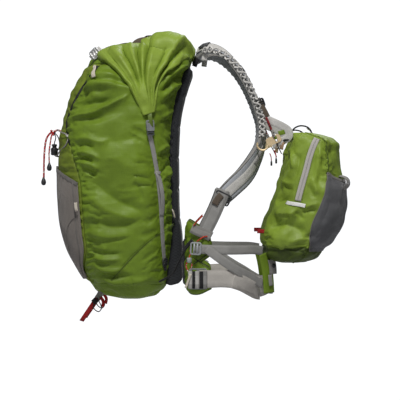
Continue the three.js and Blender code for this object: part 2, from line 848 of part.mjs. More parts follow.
// A cast ring with a gap in its side, which the shoulder strap's edge is slipped through.
function openRing(radius, thick) {
  const [steps, sides, start, turn] = [12, 5, 0.75 * Math.PI, 1.25 * Math.PI];
  const sections = Array.from({ length: steps + 1 }, (_, i) => {
    const angle = start + (turn * i) / steps;
    return Array.from({ length: sides }, (_, k) => {
      const around = (2 * Math.PI * k) / sides;
      const reach = radius + thick * Math.cos(around);
      return new THREE.Vector3(reach * Math.cos(angle), reach * Math.sin(angle), thick * Math.sin(around));
    });
  });
  return loft(sections);
}

bagPanels();
add('roll_top', rollTop(), paints.green);
add('stretch_pocket', stretchPocket(), paints.stretch);
backPads();
sideStraps();
add('top_strap', topStrap(), paints.webbing);
mainZip();
frontCords();
addPair('ice_axe_loop', axeLoop(), paints.red);
add('haul_loop', haulLoop(), paints.blackPlastic);
shoulderHarness();
hipBelt();
hipBuckle();
balancePockets();

export default pack;
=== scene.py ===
import math

import bpy
import numpy as np
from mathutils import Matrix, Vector
from mathutils.bvhtree import BVHTree

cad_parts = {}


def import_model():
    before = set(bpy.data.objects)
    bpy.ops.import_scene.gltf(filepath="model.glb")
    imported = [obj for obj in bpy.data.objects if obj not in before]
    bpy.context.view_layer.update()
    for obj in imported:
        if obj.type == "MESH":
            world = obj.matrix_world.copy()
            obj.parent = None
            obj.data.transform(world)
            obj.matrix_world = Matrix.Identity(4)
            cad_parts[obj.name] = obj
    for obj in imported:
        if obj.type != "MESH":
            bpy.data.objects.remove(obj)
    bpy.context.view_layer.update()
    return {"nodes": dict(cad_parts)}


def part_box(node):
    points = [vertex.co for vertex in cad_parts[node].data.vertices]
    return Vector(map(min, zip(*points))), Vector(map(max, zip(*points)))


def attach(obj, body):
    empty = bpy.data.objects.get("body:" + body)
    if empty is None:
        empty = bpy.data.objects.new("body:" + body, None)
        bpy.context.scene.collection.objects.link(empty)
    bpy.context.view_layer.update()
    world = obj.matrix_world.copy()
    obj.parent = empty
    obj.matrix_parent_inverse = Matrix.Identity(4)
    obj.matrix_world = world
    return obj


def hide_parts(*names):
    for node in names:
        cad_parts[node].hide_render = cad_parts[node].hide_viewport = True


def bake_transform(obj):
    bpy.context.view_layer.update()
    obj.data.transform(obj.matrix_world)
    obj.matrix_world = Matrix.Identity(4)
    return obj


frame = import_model()

# The looks of the hiking backpack, built round the frame's bodies: the bag, its roll-top and back pads, the harness
# and the two balance pockets, then the floor, the lights and the camera. Lengths are in millimetres until a mesh is
# made, in the frame's own axes: +X the way the wearer faces, +Y the wearer's left, +Z up. RIGHT and LEFT multiply Y.
MM = 0.001
RIGHT, LEFT = -1, 1
SIDES = (("right", RIGHT), ("left", LEFT))


# ------------------------------------------------------------------ numbers

def node_box(name):
    low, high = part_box(name)
    return np.array(low) / MM, np.array(high) / MM


def unit(v):
    v = np.asarray(v, float)
    return v / np.maximum(np.linalg.norm(v, axis=-1, keepdims=True), 1e-9)


def spline(points, count, closed=False):
    """A Catmull-Rom curve through points, as count places evenly spread in its parameter."""
    p = np.asarray(points, float)
    n = len(p)
    t = np.linspace(0, n if closed else n - 1, count, endpoint=not closed)
    i = np.floor(t).astype(int)
    if not closed:
        i = np.minimum(i, n - 2)
    f = (t - i)[:, None]
    pick = (lambda k: p[k % n]) if closed else (lambda k: p[np.clip(k, 0, n - 1)])
    a, b, c, d = pick(i - 1), pick(i), pick(i + 1), pick(i + 2)
    return 0.5 * (2 * b + (c - a) * f + (2 * a - 5 * b + 4 * c - d) * f**2 + (3 * b - a - 3 * c + d) * f**3)


def run_of(path):
    """How far along a path each of its points is."""
    return np.concatenate([[0], np.cumsum(np.linalg.norm(np.diff(path, axis=0), axis=1))])


def read_off(at, keys, values):
    """Columns of values given at keys, read off at other places."""
    return np.stack([np.interp(at, keys, values[:, k]) for k in range(values.shape[1])], axis=1)


def evenly(path, count):
    """The same path with its points an equal distance apart."""
    path = np.asarray(path, float)
    run = run_of(path)
    return read_off(np.linspace(0, run[-1], count), run, path)


def calmed(path, times=5):
    """A path pulled straighter between its two ends."""
    path = path.copy()
    for _ in range(times):
        path[1:-1] = path[1:-1] * 0.5 + (path[:-2] + path[2:]) * 0.25
    return path


def length_of(path):
    return float(np.linalg.norm(np.diff(path, axis=0), axis=1).sum())


def table(rows):
    """A smooth function of the first column that gives the other columns."""
    rows = np.asarray(rows, float)
    keys, values = rows[:, 0], rows[:, 1:]
    slope = np.gradient(values, keys, axis=0)

    def at(x):
        x = np.clip(np.asarray(x, float), keys[0], keys[-1])
        i = np.clip(np.searchsorted(keys, x) - 1, 0, len(keys) - 2)
        h = (keys[i + 1] - keys[i])[..., None]
        t = ((x - keys[i]) / (keys[i + 1] - keys[i]))[..., None]
        start, end = values[i] * (1 + 2
                                  * t) + slope[i] * h * t, values[i + 1] * (3 - 2 * t) - slope[i + 1] * h * (1 - t)
        return start * (1 - t) ** 2 + end * t**2

    return at


def ease(x):
    x = np.clip(x, 0, 1)
    return x * x * (3 - 2 * x)


def window(x, low, rise, high, fall):
    """1 from low + rise to high - fall, easing to 0 at low and at high."""
    return ease((x - low) / rise) * ease((high - x) / fall)


def bell(x, width):
    return np.exp(-((x / width) ** 2))


def waves(points, size, seed, octaves=2):
    """Smooth noise between about -1 and 1, from sine waves in seeded directions."""
    rng = np.random.default_rng(seed)
    total = np.zeros(points.shape[:-1])
    for octave in range(octaves):
        for _ in range(7):
            direction = unit(rng.normal(size=points.shape[-1])) * 2 * math.pi / size * 1.8**octave
            direction = direction * rng.uniform(0.6, 1.4)
            total += np.sin(points @ direction + rng.uniform(0, 2 * math.pi)) * 0.38 * 0.55**octave
    return total


def fold(at, path, width, height, lean=0.0, fade=0.3):
    """The height of one crease at places in a plane. lean makes its left side steeper, fade tapers its ends."""
    path = spline(path, 4 * len(path))
    a, b = path[:-1], path[1:]
    flat = at.reshape(-1, 2)
    near = np.full(len(flat), np.inf)
    along = np.zeros(len(flat))
    side = np.zeros(len(flat))
    for k in range(len(a)):
        ab, ap = b[k] - a[k], flat - a[k]
        t = np.clip(ap @ ab / (ab @ ab), 0, 1)
        off = ap - t[:, None] * ab
        d = np.hypot(off[:, 0], off[:, 1])
        closer = d < near
        near[closer] = d[closer]
        along[closer] = (k + t[closer]) / len(a)
        side[closer] = np.sign(ab[0] * off[closer, 1] - ab[1] * off[closer, 0])
    spread = width * (1 - lean * side)
    tapered = ease(along / fade) * ease((1 - along) / fade)
    return (height * np.exp(-((near / spread) ** 1.4)) * tapered).reshape(at.shape[:-1])


def metres(place):
    return tuple(np.array(place) * MM)


# ------------------------------------------------------------------ meshes

def new_object(name, points, faces, uvs=None, smooth=True):
    if name in frame["nodes"]:
        name += "_cover"
    mesh = bpy.data.meshes.new(name)
    mesh.from_pydata((np.asarray(points) * MM).tolist(), [], faces)
    if uvs is not None:
        layer = mesh.uv_layers.new(name="UVMap")
        loops = np.zeros(len(mesh.loops), dtype=np.int32)
        mesh.loops.foreach_get("vertex_index", loops)
        layer.data.foreach_set("uv", (np.asarray(uvs)[loops] * MM).astype(np.float32).ravel())
    mesh.polygons.foreach_set("use_smooth", [smooth] * len(mesh.polygons))
    mesh.validate()
    obj = bpy.data.objects.new(name, mesh)
    bpy.context.collection.objects.link(obj)
    return obj


def grid_faces(rows, columns, closed=False, start=0, flip=False):
    faces = []
    for r in range(rows - 1):
        for c in range(columns if closed else columns - 1):
            d = (c + 1) % columns
            quad = [start + r * columns + c, start + r * columns + d, start + (r + 1) * columns + d,
                    start + (r + 1) * columns + c]
            faces.append(quad[::-1] if flip else quad)
    return faces


def rim_faces(rows, columns):
    """The faces that join the edges of two grids of rows and columns, one after the other in a mesh."""
    n = rows * columns
    rim = [*range(columns), *range(2 * columns - 1, n, columns), *range(n - 2, n - columns - 1, -1),
           *range(n - 2 * columns, 0, -columns)]
    return [[b, a, a + n, b + n] for a, b in zip(rim, rim[1:] + rim[:1])]


def grid_normals(grid, closed=False):
    """The unit normal at each point of a grid of rows and columns, on its column-cross-row side."""
    if closed:
        across = np.roll(grid, -1, axis=1) - np.roll(grid, 1, axis=1)
    else:
        across = np.gradient(grid, axis=1)
    up = np.gradient(grid, axis=0)
    return unit(np.cross(across, up))


def grid_uvs(grid):
    """Lengths along the middle row and the middle column, so that a weave keeps its true size."""
    rows, columns = grid.shape[:2]
    steps_u = np.linalg.norm(np.diff(grid, axis=1), axis=2)
    steps_v = np.linalg.norm(np.diff(grid, axis=0), axis=2)
    u = np.concatenate([np.zeros((rows, 1)), np.cumsum(steps_u, axis=1)], axis=1)
    u -= u[:, columns // 2: columns // 2 + 1]
    v = np.concatenate([[0], np.cumsum(steps_v.mean(axis=1))])
    return np.stack([u, np.repeat(v[:, None], columns, axis=1)], axis=2)


def sheet(name, grid, thickness, flip=False):
    """A closed sheet of fabric whose outer face is the grid. flip puts the outer face on the other side."""
    rows, columns = grid.shape[:2]
    outward = grid_normals(grid) * (-1 if flip else 1)
    inner = grid - outward * thickness
    n = rows * columns
    faces = grid_faces(rows, columns, flip=flip) + grid_faces(rows, columns, start=n, flip=not flip)
    faces += [quad[::-1] if flip else quad for quad in rim_faces(rows, columns)]
    uvs = grid_uvs(grid).reshape(-1, 2)
    return new_object(name, np.concatenate([grid.reshape(-1, 3), inner.reshape(-1, 3)]), faces,
                      np.concatenate([uvs, uvs]))


def sweep(name, path, profile, up=None, closed=False):
    """A solid whose flat profile of [across, out] points runs along a path. up gives the out direction. There may
    be one profile for all stations or one for each."""
    path = np.asarray(path, float)
    count = len(path)
    if closed:
        along = unit(np.roll(path, -1, axis=0) - np.roll(path, 1, axis=0))
    else:
        along = unit(np.gradient(path, axis=0))
    if up is None:
        out = [unit(np.cross(along[0], [0.3, 0.5, 0.8]))]
        for k in range(1, count):
            out.append(unit(out[-1] - along[k] * (out[-1] @ along[k])))
        out = np.array(out)
    else:
        out = np.broadcast_to(np.asarray(up, float), path.shape)
        out = unit(out - along * np.sum(out * along, axis=1, keepdims=True))
    across = np.cross(out, along)
    profiles = np.asarray(profile, float)
    if profiles.ndim == 2:
        profiles = np.broadcast_to(profiles, (count, *profiles.shape))
    sides = profiles.shape[1]
    points = path[:, None] + across[:, None] * profiles[..., 0:1] + out[:, None] * profiles[..., 1:2]
    faces = grid_faces(count, sides, closed=True)
    if closed:
        last = (count - 1) * sides
        faces += [[last + c, last + (c + 1) % sides, (c + 1) % sides, c] for c in range(sides)]
    else:
        faces += [list(range(sides))[::-1], list(range((count - 1) * sides, count * sides))]
    uvs = np.stack([profiles[..., 0], np.repeat(run_of(path)[:, None], sides, axis=1)], axis=2)
    return new_object(name, points.reshape(-1, 3), faces, uvs.reshape(-1, 2))


def web_profile(width, thickness):
    """Webbing in section: flat faces and rounded edges."""
    w, t = width / 2, thickness / 2
    return [[-w, -t * 0.4], [-w + t * 0.6, -t], [-w / 3, -t], [w / 3, -t], [w - t * 0.6, -t], [w, -t * 0.4],
            [w, t * 0.4], [w - t * 0.6, t], [w / 3, t], [-w / 3, t], [-w + t * 0.6, t], [-w, t * 0.4]]


def webbing(name, stations, width, thickness=1.5, step=3.0):
    """A strap through stations of [place, facing direction]."""
    places = spline([s[0] for s in stations], 12 * len(stations))
    facing = spline([s[1] for s in stations], 12 * len(stations))
    count = max(4, int(length_of(places) / step))
    both = evenly(np.concatenate([places, facing * 1e-3], axis=1), count)
    return sweep(name, both[:, :3], web_profile(width, thickness), up=both[:, 3:] * 1e3)


def ring_profile(radius, sides=8):
    angles = np.arange(sides) * 2 * math.pi / sides
    return np.stack([np.cos(angles), np.sin(angles)], axis=1) * radius


def cord(name, points, radius, step=2.5, closed=False, sides=8):
    path = spline(points, 12 * len(points), closed=closed)
    if closed:
        path = np.concatenate([path, path[:1]])
    count = max(6, int(length_of(path) / step))
    path = evenly(path, count)
    return sweep(name, path[:-1] if closed else path, ring_profile(radius, sides), closed=closed)


def lathe(name, profile, at, axis=(0, 0, 1), sides=24):
    """A turned piece. Its profile is [radius, height] points, from one end of the axis to the other."""
    axis = unit(axis)
    across = unit(np.cross(axis, [0.31, 0.87, 0.38]))
    over = np.cross(axis, across)
    angles = np.arange(sides) * 2 * math.pi / sides
    points = [np.asarray(at) + axis * h + (np.cos(a) * across + np.sin(a) * over) * max(r, 0.01)
              for r, h in profile for a in angles]
    faces = grid_faces(len(profile), sides, closed=True)
    faces += [list(range(sides))[::-1], list(range((len(profile) - 1) * sides, len(profile) * sides))]
    return new_object(name, points, faces)


def join(name, *objects):
    """Makes one object of several, under a new name."""
    bpy.ops.object.select_all(action="DESELECT")
    for obj in objects:
        obj.select_set(True)
    bpy.context.view_layer.objects.active = objects[0]
    bpy.ops.object.join()
    objects[0].name = objects[0].data.name = name + "_cover" if name in frame["nodes"] else name
    return objects[0]


def modify(obj, kind, **settings):
    modifier = obj.modifiers.new(kind.title(), kind)
    for key, value in settings.items():
        setattr(modifier, key, value)
    bpy.ops.object.select_all(action="DESELECT")
    bpy.context.view_layer.objects.active = obj
    obj.select_set(True)
    bpy.ops.object.modifier_apply(modifier=modifier.name)
    return obj


def coordinates(obj):
    flat = np.zeros(len(obj.data.vertices) * 3)
    obj.data.vertices.foreach_get("co", flat)
    return flat.reshape(-1, 3) / MM


def rounded_node(node, radius=0.5):
    """The CAD node's own shape with its edges rounded, as moulded or cast parts are."""
    mesh = frame["nodes"][node].data.copy()
    mesh.name = node + "_cover"
    obj = bpy.data.objects.new(mesh.name, mesh)
    bpy.context.collection.objects.link(obj)
    modify(obj, "WELD", merge_threshold=1e-5)
    modify(obj, "BEVEL", width=radius * MM, segments=3, limit_method="ANGLE", angle_limit=math.radians(35),
           harden_normals=False, use_clamp_overlap=True)
    for polygon in obj.data.polygons:
        polygon.use_smooth = True
    modify(obj, "WEIGHTED_NORMAL", keep_sharp=True)
    return obj


# ------------------------------------------------------------------ cloth

def billow(obj, held, pressure, slack, limit, frames=14, pull=6.0):
    """Inflates a closed fabric form whose held points stay put. slack is the share of spare cloth."""
    start = coordinates(obj)
    group = obj.vertex_groups.new(name="held")
    for index in np.flatnonzero(held > 0):
        group.add([int(index)], float(held[index]), "REPLACE")
    cloth = obj.modifiers.new("Cloth", "CLOTH")
    settings = cloth.settings
    settings.quality = 6
    settings.mass = 0.15
    settings.tension_stiffness = settings.compression_stiffness = 12
    settings.shear_stiffness = 5
    settings.bending_stiffness = 0.05
    settings.air_damping = 2
    settings.use_pressure = True
    settings.uniform_pressure_force = pressure
    settings.effector_weights.gravity = 0
    settings.vertex_group_mass = "held"
    settings.pin_stiffness = pull
    settings.shrink_min = -slack
    cloth.collision_settings.use_collision = False
    cloth.collision_settings.use_self_collision = False
    cloth.point_cache.frame_start, cloth.point_cache.frame_end = 1, frames
    for number in range(1, frames + 1):
        bpy.context.scene.frame_set(number)
    posed = obj.evaluated_get(bpy.context.evaluated_depsgraph_get())
    flat = np.zeros(len(posed.data.vertices) * 3)
    posed.data.vertices.foreach_get("co", flat)
    bpy.context.scene.frame_set(1)
    obj.modifiers.remove(cloth)
    move = flat.reshape(-1, 3) / MM - start
    far = np.linalg.norm(move, axis=1, keepdims=True)
    return start + move * np.minimum(1, limit / np.maximum(far, 1e-6))


def smoothed(grid, times):
    """Averages each point of a grid with its four neighbours, a number of times."""
    for _ in range(times):
        mean = grid.copy()
        mean[:, 1:-1] = (grid[:, 2:] + grid[:, :-2]) / 2
        tall = mean.copy()
        tall[1:-1] = (grid[2:] + grid[:-2]) / 2
        grid = grid * 0.4 + mean * 0.3 + tall * 0.3
    return grid


def refined(grid, closed=False):
    """Twice as many rows and columns, on a smooth curve through the old ones."""
    def doubled(g, wrap):
        n = len(g)
        pick = (lambda k: g[k % n]) if wrap else (lambda k: g[np.clip(k, 0, n - 1)])
        i = np.arange(n if wrap else n - 1)
        middle = (9 * (pick(i) + pick(i + 1)) - pick(i - 1) - pick(i + 2)) / 16
        made = np.empty((2 * n if wrap else 2 * n - 1, *g.shape[1:]))
        made[0::2], made[1::2] = g, middle
        return made

    grid = doubled(grid, False)
    return doubled(grid.swapaxes(0, 1), closed).swapaxes(0, 1)


class SoftForm:
    """A soft bag as rows of [height, rear, front, half width] with a rounded section."""

    def __init__(self, rows, rear_power, front_power):
        self.rows = np.asarray(rows, float)
        self.at = table(rows)
        self.rear_power, self.front_power = rear_power, front_power

    def outline(self, height, samples=240):
        """Half a section, from the middle of the rear round the wearer's right to the middle of the front."""
        rear, front, half = self.at(height)
        angle = np.linspace(0, math.pi, samples)
        c, s = -np.cos(angle), np.sin(angle)
        power = np.where(c > 0, self.front_power, self.rear_power)
        x = (rear + front) / 2 + (front - rear) / 2 * np.sign(c) * np.abs(c) ** (2 / power)
        y = -half * np.abs(s) ** (2 / power)
        y[0] = y[-1] = 0
        return np.stack([x, y, np.full(samples, float(height))], axis=1)

    def grid(self, heights, seams, columns):
        """Rows of points round the whole form. Each seam is a function of height that gives its X, and the
        columns are shared out between the seams. The grid starts at the middle of the rear."""
        made = []
        for height in heights:
            half = self.outline(height)
            run = run_of(half)
            stops = [0.0, *(float(np.interp(seam(height), half[:, 0], run)) for seam in seams), run[-1]]
            lengths = [np.linspace(stops[k], stops[k + 1], columns[k], endpoint=False) for k in range(len(columns))]
            right = read_off(np.concatenate(lengths + [[run[-1]]]), run, half)
            left = right[-2:0:-1] * [1, -1, 1]
            made.append(np.concatenate([right, left]))
        return np.array(made)


def closed_form(name, grid):
    """A closed body from a grid that wraps round, with its first and last rows filled in."""
    rows, columns = grid.shape[:2]
    points = np.concatenate([grid.reshape(-1, 3), [grid[0].mean(axis=0), grid[-1].mean(axis=0)]])
    faces = grid_faces(rows, columns, closed=True)
    low, high, last = rows * columns, rows * columns + 1, (rows - 1) * columns
    faces += [[low, (c + 1) % columns, c] for c in range(columns)]
    faces += [[high, last + c, last + (c + 1) % columns] for c in range(columns)]
    return new_object(name, points, faces)


def blown_up(name, grid, held, **settings):
    """The grid of a closed form after its cloth is inflated, with twice the rows and columns."""
    form = closed_form(name, grid)
    blown = billow(form, np.append(held.ravel(), [1, 1]), **settings)
    bpy.data.objects.remove(form)
    return refined(blown[:-2].reshape(grid.shape), closed=True)


def surface_of(*objects):
    """A tree that finds the nearest place on the outside of some objects."""
    points, faces = [], []
    for obj in objects:
        faces += [[len(points) + v for v in p.vertices] for p in obj.data.polygons]
        points += [Vector(v) for v in coordinates(obj)]
    return BVHTree.FromPolygons(points, faces)


def laid_on(tree, points, lift, from_where=None):
    """Points moved on to a surface, then lifted off it. from_where aims the search from a place outside."""
    flat = np.asarray(points, float).reshape(-1, 3)
    made = np.empty_like(flat)
    for k, p in enumerate(flat):
        hit, normal = None, None
        if from_where is not None:
            start = Vector(p + from_where)
            hit, normal, _, _ = tree.ray_cast(start, Vector(-np.asarray(from_where)).normalized())
        if hit is None:
            hit, normal, _, _ = tree.find_nearest(Vector(p))
        made[k] = np.array(hit) + np.array(normal) * lift
    return made.reshape(np.asarray(points).shape)


# ------------------------------------------------------------------ materials

def linear(red, green, blue, alpha=1.0):
    """A colour given as 0-255 screen values."""
    shares = [c / 255 for c in (red, green, blue)]
    return [c / 12.92 if c <= 0.04 else ((c + 0.055) / 1.055) ** 2.4 for c in shares] + [alpha]


class Shader:
    """A material made of nodes. Each method adds one node and returns the socket that comes out of it."""

    def __init__(self, name, roughness=0.6, metallic=0.0, specular=0.4, sheen=0.0):
        self.material = bpy.data.materials.new(name)
        self.material.use_nodes = True
        self.tree = self.material.node_tree
        self.tree.nodes.clear()
        self.surface = self.tree.nodes.new("ShaderNodeBsdfPrincipled")
        self.output = self.tree.nodes.new("ShaderNodeOutputMaterial")
        self.tree.links.new(self.surface.outputs[0], self.output.inputs["Surface"])
        self.set("Roughness", roughness)
        self.set("Metallic", metallic)
        self.set("Specular IOR Level", specular)
        self.set("Sheen Weight", sheen)
        self.set("Sheen Roughness", 0.4)
        self.height = None

    def plug(self, node, name, value):
        socket = node.inputs[name]
        if isinstance(value, bpy.types.NodeSocket):
            self.tree.links.new(value, socket)
        else:
            socket.default_value = value

    def set(self, name, value):
        self.plug(self.surface, name, value)

    def node(self, kind, inputs, output=0, **settings):
        node = self.tree.nodes.new("ShaderNode" + kind)
        for key, value in settings.items():
            setattr(node, key, value)
        for name, value in inputs.items():
            self.plug(node, name, value)
        return node.outputs[output]

    def math(self, operation, a, b=0.0, c=0.0):
        return self.node("Math", {0: a, 1: b, 2: c}, operation=operation)

    def place(self):
        return self.node("TexCoord", {}, output="Object")

    def weave_place(self):
        return self.node("TexCoord", {}, output="UV")

    def noise(self, size, detail=2.0, where=None):
        return self.node("TexNoise", {"Vector": where or self.place(), "Scale": 1 / (size * MM), "Detail": detail})

    def ramp(self, value, low, high, low_at=0.3, high_at=0.7):
        return self.node("MapRange", {"Value": value, "From Min": low_at, "From Max": high_at, "To Min": low,
                                      "To Max": high},
                         interpolation_type="SMOOTHSTEP")

    def mix(self, share, first, second, blend="MIX"):
        node = self.tree.nodes.new("ShaderNodeMix")
        node.data_type, node.blend_type = "RGBA", blend
        for index, value in ((0, share), (6, first), (7, second)):
            self.plug(node, index, value)
        return node.outputs[2]

    def ridges(self, axis, size, where=None, phase=None):
        """A smooth wave from 0 to 1 along one axis of the weave, size millimetres apart."""
        split = self.node("SeparateXYZ", {0: where or self.weave_place()}, output=axis)
        turn = self.math("MULTIPLY", split, 2 * math.pi / (size * MM))
        if phase is not None:
            turn = self.math("ADD", turn, phase)
        return self.math("MULTIPLY_ADD", self.math("SINE", turn), 0.5, 0.5)

    def bump(self, height, depth, strength=1.0):
        """Adds relief depth millimetres deep, on top of any added before."""
        inputs = {"Strength": strength, "Distance": depth * MM, "Height": height}
        if self.height is not None:
            inputs["Normal"] = self.height
        self.height = self.node("Bump", inputs)
        self.set("Normal", self.height)

    def colour(self, value):
        self.set("Base Color", value)


def nylon(name, rgb, shade=0.82, ripstop=5.0):
    """Coated ripstop nylon: a fine plain weave with a heavier grid of threads, soft crinkles and a slight sheen."""
    s = Shader(name, specular=0.3, sheen=0.06)
    base, dark = linear(*rgb), linear(*[c * shade for c in rgb])
    s.set("Sheen Tint", linear(*[min(255, c * 1.4) for c in rgb]))
    cloudy = s.ramp(s.noise(60, 3), 0, 1)
    worn = s.ramp(s.noise(9, 5), 0, 0.35)
    colour = s.mix(cloudy, base, s.mix(0.5, base, dark))
    threads = [s.math("POWER", s.ridges(axis, ripstop), 24) for axis in (0, 1)]
    grid = s.math("MAXIMUM", *threads)
    colour = s.mix(s.math("MULTIPLY", grid, 0.16), colour, dark)
    s.colour(s.mix(worn, colour, s.mix(0.5, colour, dark)))
    s.set("Roughness", s.ramp(s.noise(14, 4), 0.42, 0.56))
    s.bump(s.noise(34, 6), 1.6, 0.8)
    s.bump(s.noise(9, 5), 0.6, 0.7)
    s.bump(grid, 0.09)
    s.bump(s.math("MULTIPLY", s.ridges(0, 0.7), s.ridges(1, 0.7)), 0.05)
    return s.material


def knit(name, rgb, size=1.1, open_share=0.5):
    """Stretch cloth or spacer mesh: staggered loops with small open holes between them."""
    s = Shader(name, roughness=0.85, specular=0.2, sheen=0.25)
    base, dark = linear(*rgb), linear(*[c * 0.45 for c in rgb])
    rows = s.ridges(1, size)
    stagger = s.math("MULTIPLY", s.math("GREATER_THAN", s.ridges(1, size * 2), 0.5), math.pi)
    loops = s.math("MULTIPLY", s.ridges(0, size, phase=stagger), rows)
    cloudy = s.ramp(s.noise(45, 3), 0, 0.35)
    # The open holes between the loops are darkened by open_share: painted shade.
    colour = s.mix(s.math("MULTIPLY", loops, open_share), base, dark)
    s.colour(s.mix(cloudy, colour, s.mix(0.6, colour, dark)))
    s.bump(s.noise(16, 4), 0.4, 0.6)
    s.bump(s.math("SUBTRACT", 1.0, loops), 0.25)
    return s.material


def woven_tape(name, rgb, rib=1.7, edge=0.8, width=20.0):
    """Nylon webbing: rows of slanted ribs that meet in chevrons, with darker, denser edges."""
    s = Shader(name, specular=0.25, sheen=0.2)
    base, dark = linear(*rgb), linear(*[c * 0.55 for c in rgb])
    where = s.weave_place()
    across = s.node("SeparateXYZ", {0: where}, output=0)
    zigzag = s.math("PINGPONG", s.math("ADD", across, 1.0), 2.4 * MM)
    slant = s.math("MULTIPLY", zigzag, 2 * math.pi / (rib * MM) * 0.8)
    ribs = s.ridges(1, rib, where, slant)
    columns = s.ridges(0, 2.4, where)
    threads = s.noise(0.9, 2, where)
    worn = s.ramp(s.noise(22, 4), 0, 0.45)
    # The grooves between the ribs are darkened: painted shade.
    colour = s.mix(s.math("MULTIPLY", s.math("SUBTRACT", 1.0, ribs), 0.26), base, dark)
    colour = s.mix(s.math("MULTIPLY", threads, 0.16), colour, dark)
    far = s.math("MULTIPLY", s.math("ABSOLUTE", across), 2 / (width * MM))
    colour = s.mix(s.ramp(far, 0, 0.35, edge, 1.0), colour, dark)
    s.colour(s.mix(worn, colour, s.mix(0.45, colour, dark)))
    s.set("Roughness", s.ramp(s.noise(5, 3), 0.66, 0.85))
    s.bump(ribs, 0.22)
    s.bump(columns, 0.08)
    return s.material


def braid(name, rgb, fleck=None, size=2.2):
    """Braided cord: two sets of strands that cross, with flecks of a second colour."""
    s = Shader(name, roughness=0.7, specular=0.3, sheen=0.2)
    base, dark = linear(*rgb), linear(*[c * 0.4 for c in rgb])
    where = s.place()
    wave = [s.node("TexWave", {"Vector": s.node("Mapping", {"Vector": where, "Rotation": turn}),
                               "Scale": 1 / (size * MM) / 6,
                               "Distortion": 0.6}, output=1) for turn in ((0, 0.8, 0.8), (0.8, -0.8, 0))]
    cross = s.math("MAXIMUM", *wave)
    # Where the strands dip between crossings the cord is darkened: painted shade.
    colour = s.mix(cross, dark, base)
    if fleck:
        spots = s.ramp(s.noise(3.2, 1), 0, 1, 0.58, 0.62)
        colour = s.mix(spots, colour, linear(*fleck))
    s.colour(colour)
    s.bump(cross, 0.2)
    return s.material


def moulded(name, rgb, roughness=0.42):
    """Moulded acetal: a fine satin grain, faint flow marks and edges rubbed paler."""
    s = Shader(name, specular=0.5)
    base, pale = linear(*rgb), linear(*[min(255, c * 1.5 + 14) for c in rgb])
    rubbed = s.ramp(s.node("NewGeometry", {}, output="Pointiness"), 0, 0.55, 0.5, 0.6)
    streaks = s.ramp(s.noise(7, 4), 0, 0.18)
    s.colour(s.mix(streaks, s.mix(rubbed, base, pale), pale))
    s.set("Roughness", s.ramp(s.noise(2.5, 4), roughness - 0.06, roughness + 0.12))
    s.bump(s.noise(0.5, 2), 0.03, 0.6)
    return s.material


def anodised(name, rgb, roughness=0.32, metallic=1.0):
    """Anodised or bare alloy with brushed streaks and small scuffs."""
    s = Shader(name, metallic=metallic)
    base, dark = linear(*rgb), linear(*[c * 0.8 for c in rgb])
    brushed = s.noise(3, 3, s.node("Mapping", {"Vector": s.place(), "Scale": (1, 1, 9)}))
    s.colour(s.mix(s.ramp(brushed, 0, 0.6), base, dark))
    s.set("Roughness", s.ramp(s.noise(4, 5), roughness - 0.07, roughness + 0.16))
    s.bump(brushed, 0.03, 0.5)
    return s.material


def zip_tape(name, rgb, teeth):
    """A zip seen from above: woven tape with a raised row of fine coils down its middle."""
    s = Shader(name, specular=0.35)
    where = s.weave_place()
    base, coil = linear(*rgb), linear(*teeth)
    across = s.math("ABSOLUTE", s.node("SeparateXYZ", {0: where}, output=0))
    middle = s.ramp(across, 1, 0, 1.5 * MM, 2.1 * MM)
    coils = s.math("MULTIPLY", s.ridges(1, 1.3, where), middle)
    gap = s.ramp(across, 1, 0, 0.15 * MM, 0.4 * MM)
    colour = s.mix(middle, base, coil)
    # Between the coils, and along the gap down the middle, the zip is darkened: painted shade.
    colour = s.mix(s.math("MULTIPLY", s.math("SUBTRACT", middle, coils), 0.55), colour, linear(20, 20, 20))
    s.colour(s.mix(s.math("MULTIPLY", gap, 0.6), colour, linear(18, 18, 18)))
    s.set("Roughness", s.ramp(middle, 0.85, 0.42, 0.0, 1.0))
    s.bump(coils, 0.5)
    s.bump(s.ridges(1, 0.8, where), 0.05)
    return s.material


